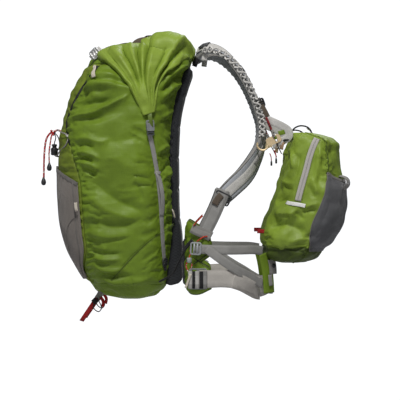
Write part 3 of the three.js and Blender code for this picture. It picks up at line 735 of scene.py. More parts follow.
GREEN = (114, 141, 38)
paint = {
    "green": nylon("green_ripstop", GREEN),
    # The pocket green is the bag green made about an eighth paler for the pocket shells: painted light.
    "pocket_green": nylon("pocket_nylon_painted_light", (133, 158, 54)),
    # The pocket base green is the pocket green made much darker for the downward-facing base: painted shade.
    "base_green": nylon("pocket_base_nylon_painted_shade", (70, 86, 28)),
    # dome: the side green made paler for the roll-top, painted light where the top light falls on it.
    "dome": nylon("dome_ripstop_painted_light", (140, 165, 60)),
    # dark_green: a darker green for the fin binding and, as painted shade, for the side buckle loop.
    "dark_green": nylon("dark_ripstop_binding_and_painted_shade", (92, 112, 38)),
    "olive": nylon("olive_ripstop", (120, 138, 44)),
    "seam_green": woven_tape("seam_tape", (92, 114, 34), 1.1, width=4),
    "stretch": knit("stretch_weave", (140, 133, 127), 0.9, 0.35),
    "pocket_stretch": knit("pocket_stretch_weave", (104, 105, 108), 0.9, 0.4),
    "spacer": knit("spacer_mesh", (52, 54, 58), 3.2, 0.8),
    "padding": knit("strap_mesh", (172, 176, 182), 1.6, 0.4),
    "grey_tape": woven_tape("grey_webbing", (160, 158, 154), width=12),
    "strap_tape": woven_tape("mid_grey_webbing", (164, 163, 160)),
    "wide_tape": woven_tape("wide_webbing", (206, 201, 194), width=38),
    "pale_tape": woven_tape("pale_webbing", (216, 214, 210)),
    "brown_tape": woven_tape("brown_webbing", (104, 92, 80)),
    "red_tape": woven_tape("red_tape", (172, 34, 36), width=8),
    "cream": woven_tape("cream_label", (240, 230, 212), 1.0, width=14),
    "beige": woven_tape("beige_label", (182, 150, 118), 1.0, width=12),
    "black_tape": woven_tape("black_binding", (40, 40, 42)),
    "spot": moulded("dark_rivet", (30, 31, 33)),
    "grey_binding": woven_tape("grey_binding", (128, 124, 120), width=8),
    "cord": braid("grey_cord", (158, 154, 148), (70, 66, 62)),
    "black_cord": braid("black_cord", (36, 36, 38)),
    "lace": braid("lacing_cord", (226, 224, 220), (70, 70, 72), 3.0),
    "red_cord": braid("red_cord", (190, 34, 38), (232, 226, 218)),
    "orange_cord": braid("orange_cord", (204, 62, 34)),
    "dark_red_cord": braid("dark_red_cord", (134, 30, 34), (52, 26, 26)),
    "black": moulded("black_acetal", (34, 35, 37)),
    "grey": moulded("grey_acetal", (112, 115, 117)),
    "pale_grey": moulded("pale_acetal", (176, 176, 174)),
    "gold": anodised("gold_alloy", (250, 224, 180), 0.34, 0.4),
    "silver": anodised("silver_alloy", (220, 220, 220), 0.28, 0.8),
    "black_zip": zip_tape("black_zip", (38, 38, 38), (30, 30, 30)),
    "grey_zip": zip_tape("grey_zip", (176, 172, 168), (206, 202, 198)),
    "dark_grey": moulded("dark_acetal", (66, 68, 72)),
    "thread": woven_tape("green_thread", (108, 126, 52), 0.6),
    "grey_thread": woven_tape("grey_thread", (88, 88, 88), 0.6),
    "reflective": moulded("reflective_bar", (222, 222, 218), 0.3),
}


def finish(obj, look, body, node=None, slotted=False):
    """Gives a piece its material and the body it rides on. A piece that stands for a CAD node, which is the one of
    its own name unless another is given, also hides that node. slotted is not used."""
    obj.data.materials.clear()
    obj.data.materials.append(paint[look])
    if body is not None:
        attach(obj, body)
    own_node = obj.name.removesuffix("_cover")
    node = node or (own_node if own_node in frame["nodes"] else None)
    if node:
        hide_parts(node)
    return obj


def stitches(name, path, outward, look, body, long=3.0, gap=1.6, thick=0.35):
    """A row of sewn stitches: short rounded threads that stand a little proud of the cloth."""
    path = np.asarray(path, float)
    outward = np.broadcast_to(np.asarray(outward, float), path.shape)
    count = max(2, int(length_of(path) / (long + gap)) + 1)
    both = evenly(np.concatenate([path, outward * 1e-3], axis=1), count * 2)
    points, faces = [], []
    for k in range(0, len(both) - 1, 2):
        a, b = both[k, :3], both[k, :3] + unit(both[k + 1, :3] - both[k, :3]) * long
        out = unit(both[k, 3:])
        across = np.cross(unit(b - a), out)
        start = len(points)
        for place, size, lift in ((a, 0.35, -0.2), (a * 0.75 + b * 0.25, 1, 0.25), (a * 0.25 + b * 0.75, 1, 0.25),
                                  (b, 0.35, -0.2)):
            middle = place + out * lift * thick
            points += [middle + across * thick * size, middle + out * thick * size, middle - across * thick * size,
                       middle - out * thick * size]
        for ring in range(3):
            for c in range(4):
                d = (c + 1) % 4
                faces.append([start + ring * 4 + c, start + ring * 4 + 4 + c, start + ring * 4 + 4 + d,
                              start + ring * 4 + d])
        faces += [[start, start + 1, start + 2, start + 3], [start + 15, start + 14, start + 13, start + 12]]
    return finish(new_object(name, points, faces), look, body)


# ------------------------------------------------------------------ main bag

FABRIC = 2.2  # thickness of a fabric panel, with its seam allowance
BAG_FOOT, BAG_CROWN = -83, 476  # the lowest and highest places of the bag's form
TOP_SEAM, BOTTOM_SEAM = 432, -45  # heights where the walls meet the collar and the base
STRAP_TOP = 262  # the side strap is free of the bag above this height
STRAP_LINE = [(-81, 272), (-72, 224), (-64, 170), (-59, 114), (-57, 70), (-54, 20), (-52, -12)]  # side strap, X and Z

BAG = SoftForm([
    (BAG_FOOT, -150, -105, 40), (-78, -172, -85, 75), (-66, -195, -66, 102), (-48, -217, -48, 120),
    (-18, -238, -40, 134),
    (32, -262, -33, 145), (100, -277, -30, 152), (180, -283, -35, 158), (240, -284, -36, 160), (300, -276, -32, 157),
    (355, -262, -23, 150), (402, -240, -10, 140), (436, -220, 4, 126), (458, -198, 6, 104), (470, -172, -4, 76),
    (BAG_CROWN, -135, -35, 40)], 2.6, 4.0)
front_line = table([(BAG_FOOT, -135), (-62, -187), (37, -222), (100, -229), (176, -235), (250, -256), (309, -266),
                    (368, -239), (428, -192), (BAG_CROWN, -120)])
strap_line = table([(z, x) for x, z in STRAP_LINE[::-1]])


def front_seam(z):
    rear, front, _ = BAG.at(z)
    return float(max(front_line(np.array(float(z)))[0], rear + 0.05 * (front - rear)))


def back_seam(z):
    return float(BAG.at(z)[1] - 3.5 * min(1, (BAG.at(z)[1] - BAG.at(z)[0]) / 120))


SHARES = (18, 50, 14)  # columns from the middle of the front to its seam, along the side, and to the back's middle
FOOT_ROWS, WALL_ROWS, CROWN_ROWS = 7, 88, 8
heights = np.concatenate([np.linspace(BAG_FOOT, BOTTOM_SEAM, FOOT_ROWS + 1),
                          np.linspace(BOTTOM_SEAM, TOP_SEAM, WALL_ROWS + 1)[1:],
                          np.linspace(TOP_SEAM, BAG_CROWN, CROWN_ROWS + 1)[1:]])
low_row, high_row = FOOT_ROWS, FOOT_ROWS + WALL_ROWS  # the rows of the two seams
bag = BAG.grid(heights, (front_seam, back_seam), SHARES)
rows, columns = bag.shape[:2]
seam_columns = [SHARES[0], SHARES[0] + SHARES[1], columns - SHARES[0] - SHARES[1], columns - SHARES[0]]

held = np.zeros((rows, columns))
held[:, seam_columns] = 1
held[[low_row, high_row]] = 1
held[:2] = held[-2:] = 1
on_flank = np.abs(bag[..., 1]) > 60
held[(np.abs(bag[..., 0] - strap_line(bag[..., 2])[..., 0]) < 5) & (bag[..., 2] < STRAP_TOP) & on_flank] = 0.5
bag = blown_up("bag_cloth", bag, held, pressure=5.0, slack=0.035, limit=4.5, frames=16)
rows, columns = bag.shape[:2]
low_row, high_row, seam_columns = 2 * low_row, 2 * high_row, [2 * c for c in seam_columns]
SEAM_R, BACK_R, BACK_L, SEAM_L = seam_columns

# Creases on a side, as [X and Z places], half width, height, lean. A negative height is a valley.
SIDE_FOLDS = [
    ([(-230, 392), (-190, 396), (-150, 394)], 30, 5.2),
    ([(-246, 316), (-205, 314), (-165, 318), (-125, 330)], 30, -5.2),
    ([(-226, 402), (-205, 404), (-170, 406), (-140, 398)], 9, 4.5, 0.3),
    ([(-228, 390), (-200, 392), (-160, 395), (-132, 386)], 5, -3.5),
    ([(-236, 372), (-210, 384), (-178, 386), (-130, 378), (-116, 372)], 10, 5.5, 0.4),
    ([(-244, 350), (-222, 368), (-200, 372), (-160, 373)], 6, -4.5),
    ([(-120, 366), (-150, 351), (-176, 338), (-205, 326), (-240, 318), (-258, 308)], 5.5, 7.5, -0.45),
    ([(-252, 322), (-236, 342), (-215, 347), (-186, 350), (-160, 360)], 8, -6.0),
    ([(-256, 300), (-232, 312), (-206, 314), (-180, 325)], 9, -4.0, 0.2),
    ([(-252, 286), (-226, 296), (-190, 300), (-156, 314), (-128, 330)], 14, 3.5, 0.2),
    ([(-244, 262), (-222, 271), (-190, 262), (-164, 268)], 7, 3.5, 0.3),
    ([(-246, 250), (-226, 256), (-200, 246)], 5, -4.0),
    ([(-243, 238), (-222, 240), (-200, 231), (-188, 222)], 6, 4.0, 0.3),
    ([(-240, 226), (-220, 225), (-202, 216)], 5, -4.0),
    ([(-238, 214), (-214, 214), (-190, 200)], 6, 3.5, 0.2),
    ([(-236, 202), (-214, 196), (-196, 184)], 5, -3.5),
    ([(-236, 188), (-205, 172), (-176, 150), (-140, 128), (-110, 116), (-78, 104)], 15, -5.0, -0.3),
    ([(-204, 236), (-170, 226), (-134, 214), (-100, 190), (-78, 160)], 26, 4.5),
    ([(-196, 268), (-160, 262), (-120, 270), (-86, 292)], 20, -4.0),
    ([(-230, 150), (-200, 134), (-166, 112), (-128, 98), (-84, 84)], 12, 3.0, 0.2),
    ([(-118, 176), (-104, 158), (-98, 130)], 7, -3.0, 0.3),
    ([(-226, 100), (-190, 84), (-150, 78), (-110, 90), (-76, 108)], 12, -4.5, 0.2),
    ([(-222, 70), (-190, 58), (-150, 54), (-104, 66)], 12, 3.0, -0.2),
    ([(-216, 46), (-190, 46), (-150, 50), (-118, 58)], 5, -3.0),
    ([(-214, 40), (-196, 32), (-172, 30)], 4, 3.2, 0.3),
    ([(-212, 28), (-194, 20), (-168, 18), (-140, 20)], 4, -3.2),
    ([(-211, 18), (-192, 9), (-168, 7), (-138, 8)], 4.5, 3.6, 0.3),
    ([(-208, 8), (-190, -3), (-168, -6)], 4, -3.2),
    ([(-206, -4), (-188, -14), (-162, -16), (-130, -10)], 5, 3.6, 0.3),
    ([(-202, -14), (-180, -26), (-150, -30), (-112, -28)], 5, -4.0),
    ([(-196, -26), (-170, -38), (-134, -42), (-98, -36), (-70, -22)], 7, 4.0, 0.3),
    ([(-188, -40), (-162, -52), (-128, -55), (-86, -48)], 6, -3.5),
    ([(-62, 70), (-44, 84), (-30, 90)], 5, -2.5),
    ([(-60, 188), (-50, 200), (-40, 220)], 4, -3.5), ([(-54, 182), (-44, 192), (-34, 206)], 4, 3.0),
    ([(-66, 236), (-52, 250), (-38, 256)], 4, 3.0, 0.2), ([(-64, 226), (-52, 236), (-38, 240)], 4, -3.0),
    ([(-50, 120), (-42, 132), (-34, 140)], 4, -2.5), ([(-58, 312), (-40, 326), (-26, 334)], 5, 3.0, 0.2),
    ([(-62, 300), (-42, 310), (-28, 314)], 4, -3.0),
    ([(-66, 372), (-42, 404), (-14, 426), (2, 440)], 5, 4.5, 0.3),
    ([(-62, 352), (-38, 378), (-12, 398), (0, 404)], 5, 4.0, 0.3),
    ([(-64, 362), (-40, 390), (-12, 412), (0, 420)], 4, -4.5), ([(-62, 336), (-36, 360), (-14, 372)], 5, -3.5),
    ([(-160, -32), (-132, 0), (-92, 40), (-58, 66), (-24, 104)], 3.0, -1.6),
    ]


FOLD_DEPTH = {RIGHT: 1.7, LEFT: 1.4}  # the heights above are multiplied by these


def gathers(at, away, slope, size, seed):
    """Small pleats where cloth is gathered into a seam, from X and Z and the distance from the seam."""
    turn = (at[..., 1] - slope * away) * 2 * math.pi / size + 1.7 * waves(at * [0.4, 1], 42, seed, 1)
    reach = 0.65 + 0.35 * waves(at * [0.1, 1], 34, seed + 1, 1)
    return 2.6 * np.sin(turn) * np.clip(away / 7, 0,
                                        1) * np.exp(-np.clip(away - 7, 0, None) / (20 * np.clip(reach, 0.3, 1)))


def bag_folds(grid, side):
    """How far out each place of one side of the bag is moved by its creases, which differ a little on the left."""
    at = grid[..., [0, 2]].copy()
    if side == LEFT:
        at += np.stack([waves(at, 170, 31, 1), waves(at, 150, 32, 1)], axis=-1) * 9
        at[..., 1] += 6
    total = np.zeros(at.shape[:-1])
    for path, width, height, *lean in SIDE_FOLDS:
        total += fold(at, path, width, height * FOLD_DEPTH[side], *lean)
    z = at[..., 1]
    beside_pocket, below_pocket = window(z, 150, 30, 262, 30), window(z, -62, 20, 72, 40)
    total += gathers(at, at[..., 0] - front_line(z)[..., 0], 0.15, 13, 61) * (beside_pocket + below_pocket + 0.25)
    total += gathers(at, -28 - at[..., 0], 0.8, 17, 62) * (window(z, 160, 30, 300, 40) + 0.2)
    slanted = np.stack([at[..., 0] * 0.34 + at[..., 1] * 0.1, at[..., 1]], axis=-1)
    rumples = (0.6 - np.abs(waves(slanted, 40, 15, 2))) * (0.5 + 0.5 * np.clip(waves(at, 130, 16, 1), -1, 1))
    total += rumples * 0.85 + waves(grid, 46, 5, 2) * 0.6 + waves(grid, 120, 6, 1) * 2.2
    return total


def crease_seams(grid, count):
    """Pulls the fabric in along the seams, with small puckers beside them."""
    outward = grid_normals(grid, closed=True)
    run = np.arange(grid.shape[1])
    for column in seam_columns:
        away = np.abs((run - column + count / 2) % count - count / 2) * 2.7
        puckers = waves(np.stack([grid[..., 2], np.full(grid.shape[:2], float(column))], axis=-1), 13, 7 + column % 5,
                        1)
        inward = 2.2 * bell(away, 2.4)[None] - 1.1 * puckers * (away / 8 * np.exp(1 - away / 8))[None]
        grid = grid - outward * inward[..., None] * (BAG_PULL[:, None, None])
    return grid


BAG_PULL = window(bag[:, 0, 2], -80, 30, BAG_CROWN, 20)
outward = grid_normals(bag, closed=True)
move = np.zeros((rows, columns))
move[:, SEAM_R:BACK_R] = bag_folds(bag[:, SEAM_R:BACK_R], RIGHT)
move[:, BACK_L:SEAM_L + 1] = bag_folds(bag[:, BACK_L:SEAM_L + 1], LEFT)
front_part = np.r_[SEAM_L:columns, 0:SEAM_R]
move[:, front_part] = waves(bag[:, front_part], 60, 8,
                            2) * 1.4 + waves(bag[:, front_part] * [0.3, 0.3, 1], 24, 9, 1) * 0.6
from_seams = (np.arange(columns)[:, None] - np.array(seam_columns)[None] + columns / 2) % columns - columns / 2
ramp_in = np.minimum(np.abs(from_seams).min(axis=1) / 4, 1)
move *= ramp_in[None] * BAG_PULL[:, None]
under_strap = bell(np.abs(bag[..., 0] - strap_line(bag[..., 2])[..., 0]), 11) * (np.abs(bag[..., 1]) > 60)
pressed = under_strap * ease((275 - bag[..., 2]) / 30) * ease((bag[..., 2] + 25) / 40)
move = move * (1 - 0.7 * pressed) - 4.2 * pressed
bag = bag + outward * move[..., None]
bag = crease_seams(bag, columns)


def part_of_bag(first, last, low=None, high=None):
    """The bag's own columns from first to last, which may run past the grid's start."""
    picked = np.arange(first, last + 1) % columns
    return bag[low_row if low is None else low: (high_row if high is None else high) + 1][:, picked]


def bowl(name, ring, thickness, upper):
    """A closed cap of fabric: rings of points that end in the bag's top or bottom."""
    grid = ring if upper else ring[::-1]
    outward = grid_normals(ring, closed=True)
    outward = outward if upper else outward[::-1]
    inner = grid - outward * thickness
    count = grid.shape[1]
    layers = []
    for layer in (grid, inner):
        layers.append(np.concatenate([layer.reshape(-1, 3), layer[-1].mean(axis=0)[None]]))
    n = len(layers[0])
    faces = []
    for start, flip in ((0, not upper), (n, upper)):
        faces += grid_faces(len(grid), count, closed=True, start=start, flip=flip)
        last, top = start + (len(grid) - 1) * count, start + n - 1
        fan = [[top, last + c, last + (c + 1) % count] for c in range(count)]
        faces += [f[::-1] for f in fan] if flip else fan
    for c in range(count):
        d = (c + 1) % count
        quad = [d, c, c + n, d + n]
        faces.append(quad if upper else quad[::-1])
    points = np.concatenate(layers)
    return new_object(name, points, faces, points[:, :2])


side_right = sheet("side_panel_right", part_of_bag(SEAM_R, BACK_R), FABRIC)
side_left = sheet("side_panel_left", part_of_bag(BACK_L, SEAM_L), FABRIC)
front = sheet("front_panel", part_of_bag(SEAM_L, columns + SEAM_R), FABRIC)
back = sheet("back_panel", part_of_bag(BACK_R, BACK_L), FABRIC)
base = bowl("bottom_panel", bag[:low_row + 1], FABRIC, upper=False)
collar = bowl("collar_base", bag[high_row:], FABRIC, upper=True)
finish(side_right, "green", "pack")
finish(side_left, "green", "pack")
finish(front, "olive", "pack")
finish(back, "spacer", "pack")
finish(base, "green", "pack")
finish(collar, "green", "pack", slotted=True)
bag_tree = surface_of(side_right, side_left, front, back, base, collar)


# ------------------------------------------------------------------ roll-top

# The rolled collar's two long edges from its narrow tip, down the side, to the top of the pack: share of the way,
# X, and the angle round the pack's length at HUB_Z, where 90 is straight up.
HUB_Z = 372
LEFT_EDGE = table([(0.0, -98, -19), (0.1, -103, -13), (0.22, -119, -2), (0.36, -141, 11), (0.5, -166, 22),
                   (0.62, -186, 33),
                   (0.74, -197, 46), (0.86, -201, 64), (1.0, -202, 90)])
RIGHT_EDGE = table([(0.0, -73, -17), (0.1, -69, -7), (0.22, -64, 4), (0.36, -50, 15), (0.5, -27, 26), (0.62, -6, 36),
                    (0.74, 8, 48), (0.86, 14, 64), (1.0, 15, 90)])
# Pleats of the collar in its own flat shape: across from the rear edge 0 to the front edge 100, up from the tip 0 to
# the ridge 200.
PLEATS = [
    ([(3, 16), (3, 60), (3, 120), (2, 170)], 3.5, 3.5),
    ([(30, 40), (30, 90), (27, 130), (25, 172)], 4.0, -8.5),
    ([(21, 30), (20, 90), (15, 140), (13, 175)], 7, 3.5, 0.3),
    ([(37, 46), (38, 90), (35, 130), (34, 176)], 2.6, 3.2, 0.3),
    ([(43, 50), (43, 100), (42, 140), (43, 184)], 3.4, -9.0),
    ([(47, 60), (48, 95), (48, 140), (49, 186)], 2.2, 3.0, 0.3),
    ([(51, 44), (53, 80), (54, 120), (55, 170)], 2.8, -5.5),
    ([(59, 10), (60, 60), (61, 110), (62, 180)], 9, 4.0, 0.5),
    ([(80, 6), (83, 40), (86, 80), (84, 120), (80, 150)], 4, 5.0, -0.4),
    ([(91, 20), (93, 60), (91, 100), (86, 146)], 4, -10.0),
    ([(98, 50), (98, 90), (95, 120), (93, 146)], 3, 4.0),
    ([(86, 96), (90, 122), (94, 146), (97, 160)], 6, -9.0),
    ([(82, 120), (86, 146), (90, 166)], 4, 4.5, 0.3),
    ([(10, 130), (14, 160), (22, 186)], 4, -3.0),
    ([(76, 60), (77, 100), (74, 140)], 3, -3.5, 0.2),
    ([(53, 20), (54, 80), (55, 140), (56, 190)], 1.6, -3.5),
    ([(84, 8), (87, 50), (88, 90), (84, 130)], 1.6, -3.5),
    ([(8, 8), (9, 60), (10, 110), (8, 150)], 1.2, -1.6),
    ([(70, 150), (78, 168), (90, 180)], 9, 2.5),
    ([(60, 46), (68, 40), (76, 44)], 1.6, -1.4),
    ]

PLEAT_WIDTH, PLEAT_DEPTH = 0.8, 1.6  # the pleats' widths and heights are multiplied by these

source = frame["nodes"]["roll_top"]
cad_roll = bpy.data.objects.new("cad_roll_copy", source.data.copy())
bpy.context.collection.objects.link(cad_roll)
cad_roll.matrix_world = source.matrix_world
roll_tree = surface_of(cad_roll, side_right, side_left, collar, front)
bpy.data.objects.remove(cad_roll)

ACROSS, UP = 132, 96
share_up = np.concatenate([np.linspace(0, 1, UP), np.linspace(1, 0, UP)[1:]])
one_side = np.concatenate([np.full(UP - 1, RIGHT), [0], np.full(UP - 1, LEFT)])
left_edge, right_edge = LEFT_EDGE(share_up), RIGHT_EDGE(share_up)
across = np.linspace(0, 1, ACROSS)
roll = np.empty((len(share_up), ACROSS, 3))
for r in range(len(share_up)):
    x = left_edge[r, 0] + (right_edge[r, 0] - left_edge[r, 0]) * across
    turn = np.radians(left_edge[r, 1] + (right_edge[r, 1] - left_edge[r, 1]) * across)
    for c in range(ACROSS):
        out = Vector((0, one_side[r] * math.cos(turn[c]), math.sin(turn[c])))
        hit = roll_tree.ray_cast(Vector((x[c], 0, HUB_Z)) + out * 400, -out)[0]
        roll[r, c] = hit if hit is not None else Vector((x[c], 0, HUB_Z)) + out * 100
roll = smoothed(roll, 7)
outward = grid_normals(roll)
if outward[UP - 1, ACROSS // 2, 2] < 0:
    outward = -outward
flat = np.stack(np.broadcast_arrays(across[None] * 100, share_up[:, None] * 200), axis=-1)
pleated = np.zeros(roll.shape[:2])
for path, width, height, *lean in PLEATS:
    pleated += fold(flat, path, width * PLEAT_WIDTH, height * PLEAT_DEPTH, *lean)
pleated[UP:] *= 0.85
puff = 5.5 * ease(share_up / 0.4) * (1 - 0.55 * ease((share_up - 0.6) / 0.4))
pleated += puff[:, None] * np.sin(np.pi * across)[None] ** 0.5 + waves(roll, 50, 12, 2) * 1.1 + 1.6
pleated -= ease((share_up - 0.7) / 0.2)[:, None] * (4.0 - 1.8 * ease((across - 0.4) / 0.15))[None]
tip = ease(share_up / 0.12)[:, None]
roll = roll + outward * (pleated * (0.35 + 0.65 * tip))[..., None]
roll = smoothed(roll, 1)
roll_top = sheet("roll_top", roll[::-1], 1.8)
# The roll-top and its hems take the dome green, whose paleness is painted light.
finish(roll_top, "dome", "pack")
for hem_name, column in (("front", 0), ("back", -1)):
    hem_path = roll[4:-4, column] + outward[4:-4, column] * -0.6
    finish(sweep(f"roll_top_hem_{hem_name}", hem_path, ring_profile(1.9)), "dome", "pack")
tip_at = roll[3, 6:-6:4] + outward[3, 6:-6:4] * 0.2
finish(sweep("roll_top_tip_seam", tip_at, ring_profile(1.3)), "seam_green", "pack")


# ------------------------------------------------------------------ pieces on the main bag

def on_bag(places, lift, side, tree=None):
    """Side-view places [X, Z] laid on the bag's skin, and the skin's outward direction there."""
    made, facing = [], []
    for x, z in np.asarray(places, float):
        start = Vector((x, 400 * side, z))
        hit, normal, _, _ = (tree or bag_tree).ray_cast(start, Vector((0, -side, 0)))
        if hit is None:
            hit, normal, _, _ = (tree or bag_tree).find_nearest(Vector((x, 60 * side, z)))
        made.append(np.array(hit))
        facing.append(np.array(normal))
    made, facing = np.array(made), np.array(facing)
    for _ in range(3):
        facing[1:-1] = unit(facing[:-2] + facing[1:-1] * 2 + facing[2:])
    return made + facing * lift, facing


def strap_on_bag(name, places, width, thickness, lift, side, tree=None, calm=6):
    """Webbing pulled tight along side-view places on the bag, smoothed as tight webbing is."""
    path = evenly(spline(places, 12 * len(places)), max(8, int(length_of(np.asarray(places, float)) / 4)))
    at, facing = on_bag(path, lift, side, tree)
    at = calmed(at, calm)
    return sweep(name, at, web_profile(width, thickness), up=facing), at, facing


def ladder_lock(name, at, along, out, width=14.0, long=16.0, thick=3.2, bars=2):
    """A small buckle that webbing is threaded through: a rounded frame with bars across it."""
    at, along, out = np.asarray(at, float), unit(along), unit(out)
    out = unit(out - along * (out @ along))
    across = np.cross(out, along)
    place = lambda a, b, c: at + across * a + along * b + out * c
    w, h, r = width / 2 + 2.2, long / 2, 2.2
    corners = [(-w + r, -h), (w - r, -h), (w, -h + r), (w, h - r), (w - r, h), (-w + r, h), (-w, h - r), (-w, -h + r)]
    ring = [place(a, b, 0) for a, b in corners]
    flat_profile = [[-1.7, -thick / 2 + 0.5], [-1.2, -thick / 2], [1.2, -thick / 2], [1.7, -thick / 2 + 0.5],
                    [1.7, thick / 2 - 0.5], [1.2, thick / 2], [-1.2, thick / 2], [-1.7, thick / 2 - 0.5]]
    pieces = [sweep(name, evenly(np.array(ring + ring[:1]), 41)[:-1], flat_profile, up=out, closed=True)]
    for k in range(1, bars + 1):
        b = -h + 2 * h * k / (bars + 1)
        pieces.append(sweep(name + f"_bar{k}",
                            np.array([place(-w + 1, b, 0.2), place(0, b, 0.5), place(w - 1, b, 0.2)]),
                            flat_profile, up=out))
    return join(name, *pieces)


def label(name, at, along, out, width, long, thick=0.8, sag=1.5):
    """A small sewn label or tag of woven tape, slightly bowed."""
    at, along, out = np.asarray(at, float), unit(along), unit(out)
    share = np.linspace(0, 1, 7)
    path = at + along * long * share[:, None] + out * (sag * np.sin(np.pi * share))[:, None]
    return sweep(name, path, web_profile(width, thick), up=out)


def dome(name, at, out, radius, height=1.6):
    """A snap or rivet head."""
    return lathe(name, [(0, -0.5), (radius, -0.5), (radius, height * 0.3), (radius * 0.85, height * 0.75),
                        (radius * 0.5, height),
                        (0, height)], at, out)


# The stretch pocket is stretched over the front below a curved, elastic top edge.
pocket_columns = np.arange(SEAM_L + 1, columns + SEAM_R)
middle = (pocket_columns[0] + pocket_columns[-1]) / 2
sideways = (pocket_columns - middle) / (pocket_columns[-1] - middle)
upper_edge = 213 - 40 * np.abs(sideways) ** 1.9
lower_edge = -34 - 3 * (1 - np.abs(sideways) ** 2)
row_heights = bag[:, :, 2]
STRETCH_ROWS = 60
stretched = np.empty((STRETCH_ROWS, len(pocket_columns), 3))
for c, column in enumerate(pocket_columns % columns):
    z = np.linspace(lower_edge[c], upper_edge[c], STRETCH_ROWS)
    order = np.argsort(row_heights[:, column])
    stretched[:, c] = read_off(z, row_heights[order, column], bag[order, column])
stretched = smoothed(stretched, 40)
outward = grid_normals(stretched)
rise = np.linspace(0, 1, STRETCH_ROWS)[:, None]
edge = ease((1 - np.abs(sideways)) / 0.18)[None]
bulge = 4.4 + 3.6 * np.sin(np.pi * np.clip(rise * 1.02, 0, 1)) ** 0.8 * edge
flat = np.stack(np.broadcast_arrays(sideways[None] * 260, rise * 40), axis=-1)
puckers = waves(flat, 22, 41, 1) * (ease((rise - 0.8) / 0.2) + ease((0.12 - rise) / 0.12))
stretched = stretched + outward * (bulge + puckers)[..., None]
pocket_sheet = finish(sheet("stretch_pocket", stretched, 1.4), "stretch", "pack")
DART = ((39, 1), (37, 3), (34, 6), (30, 9), (24, 12), (14, 14), (3, 14))  # rows and columns of the slanting seam
hem = stretched[-2]
finish(sweep("stretch_pocket_hem", hem, web_profile(9, 2.0), up=outward[-2]), "grey_binding", "pack")
for side_name, column in (("right", -4), ("left", 3)):
    finish(sweep(f"stretch_pocket_piping_{side_name}", stretched[::2, column] + outward[::2, column] * 0.6,
                 ring_profile(1.3)),
           "grey_binding", "pack")
    mirrored = side_name == "right"
    dart = [stretched[a, len(pocket_columns) - 1 - b if mirrored else b] for a, b in DART]
    outwards = [0, -0.7 if mirrored else 0.7, 0]
    finish(cord(f"stretch_pocket_seam_{side_name}", np.array(dart) + outwards, 0.7), "grey_binding", "pack")
stretch_tree = surface_of(pocket_sheet, side_right, side_left, front)

tag_at, tag_out = on_bag([(-240, 131)], 5.0, RIGHT, stretch_tree)
finish(label("pocket_seam_label", tag_at[0], (0.12, 0, -1), tag_out[0], 8.5, 19, 1.0, 0.8), "cream", "pack")
tag_at, tag_out = on_bag([(-36, 116)], 1.5, RIGHT)
finish(label("back_seam_label", tag_at[0], (0.3, 0.2, -1), tag_out[0], 5, 20, 1.0, 0.8), "cream", "pack")

# The main zip, its slider and the cream tape pull.
zip_places = [(-192, 428), (-206, 412), (-220, 396), (-239, 368), (-254, 340), (-266, 309), (-264, 286), (-256, 256)]
zip_strip, zip_at, zip_out = strap_on_bag("main_zip", zip_places, 5.6, 1.6, 0.7, RIGHT)
finish(zip_strip, "black_zip", "pack")
finish(rounded_node("main_zip_slider"), "black", "main_zip_slider")
welt = zip_at[2:-2] - zip_out[2:-2] * 0.4 + [3.8, 0, 0]
finish(sweep("main_zip_welt", laid_on(bag_tree, welt, 0.9), web_profile(5.5, 1.6), up=zip_out[2:-2]), "green", "pack")
pull_top = np.array([-201.4, -108.0, 426.7])
pull_path = np.array([pull_top + [0, -1, 1], pull_top + [2.5, -4.5, -4], pull_top + [6, -7.5, -10],
                      pull_top + [8.5, -8.5, -17],
                      pull_top + [10, -8, -25]])
pull_path = laid_on(bag_tree, pull_path, 6.0, np.array([-30.0, -80.0, 0.0]))
pull_path[0] = pull_top + [0, -3, 1]
finish(webbing("main_zip_pull", [[p, (-0.5, -0.8, 0.1)] for p in pull_path], 10, 1.6), "cream", "main_zip_pull")
finish(cord("main_zip_pull_cord", [pull_top + [-3, 1, 2], pull_top + [-2, -3, -2], pull_top + [2, -5, -8]], 1.0),
       "black_cord", "main_zip_pull")

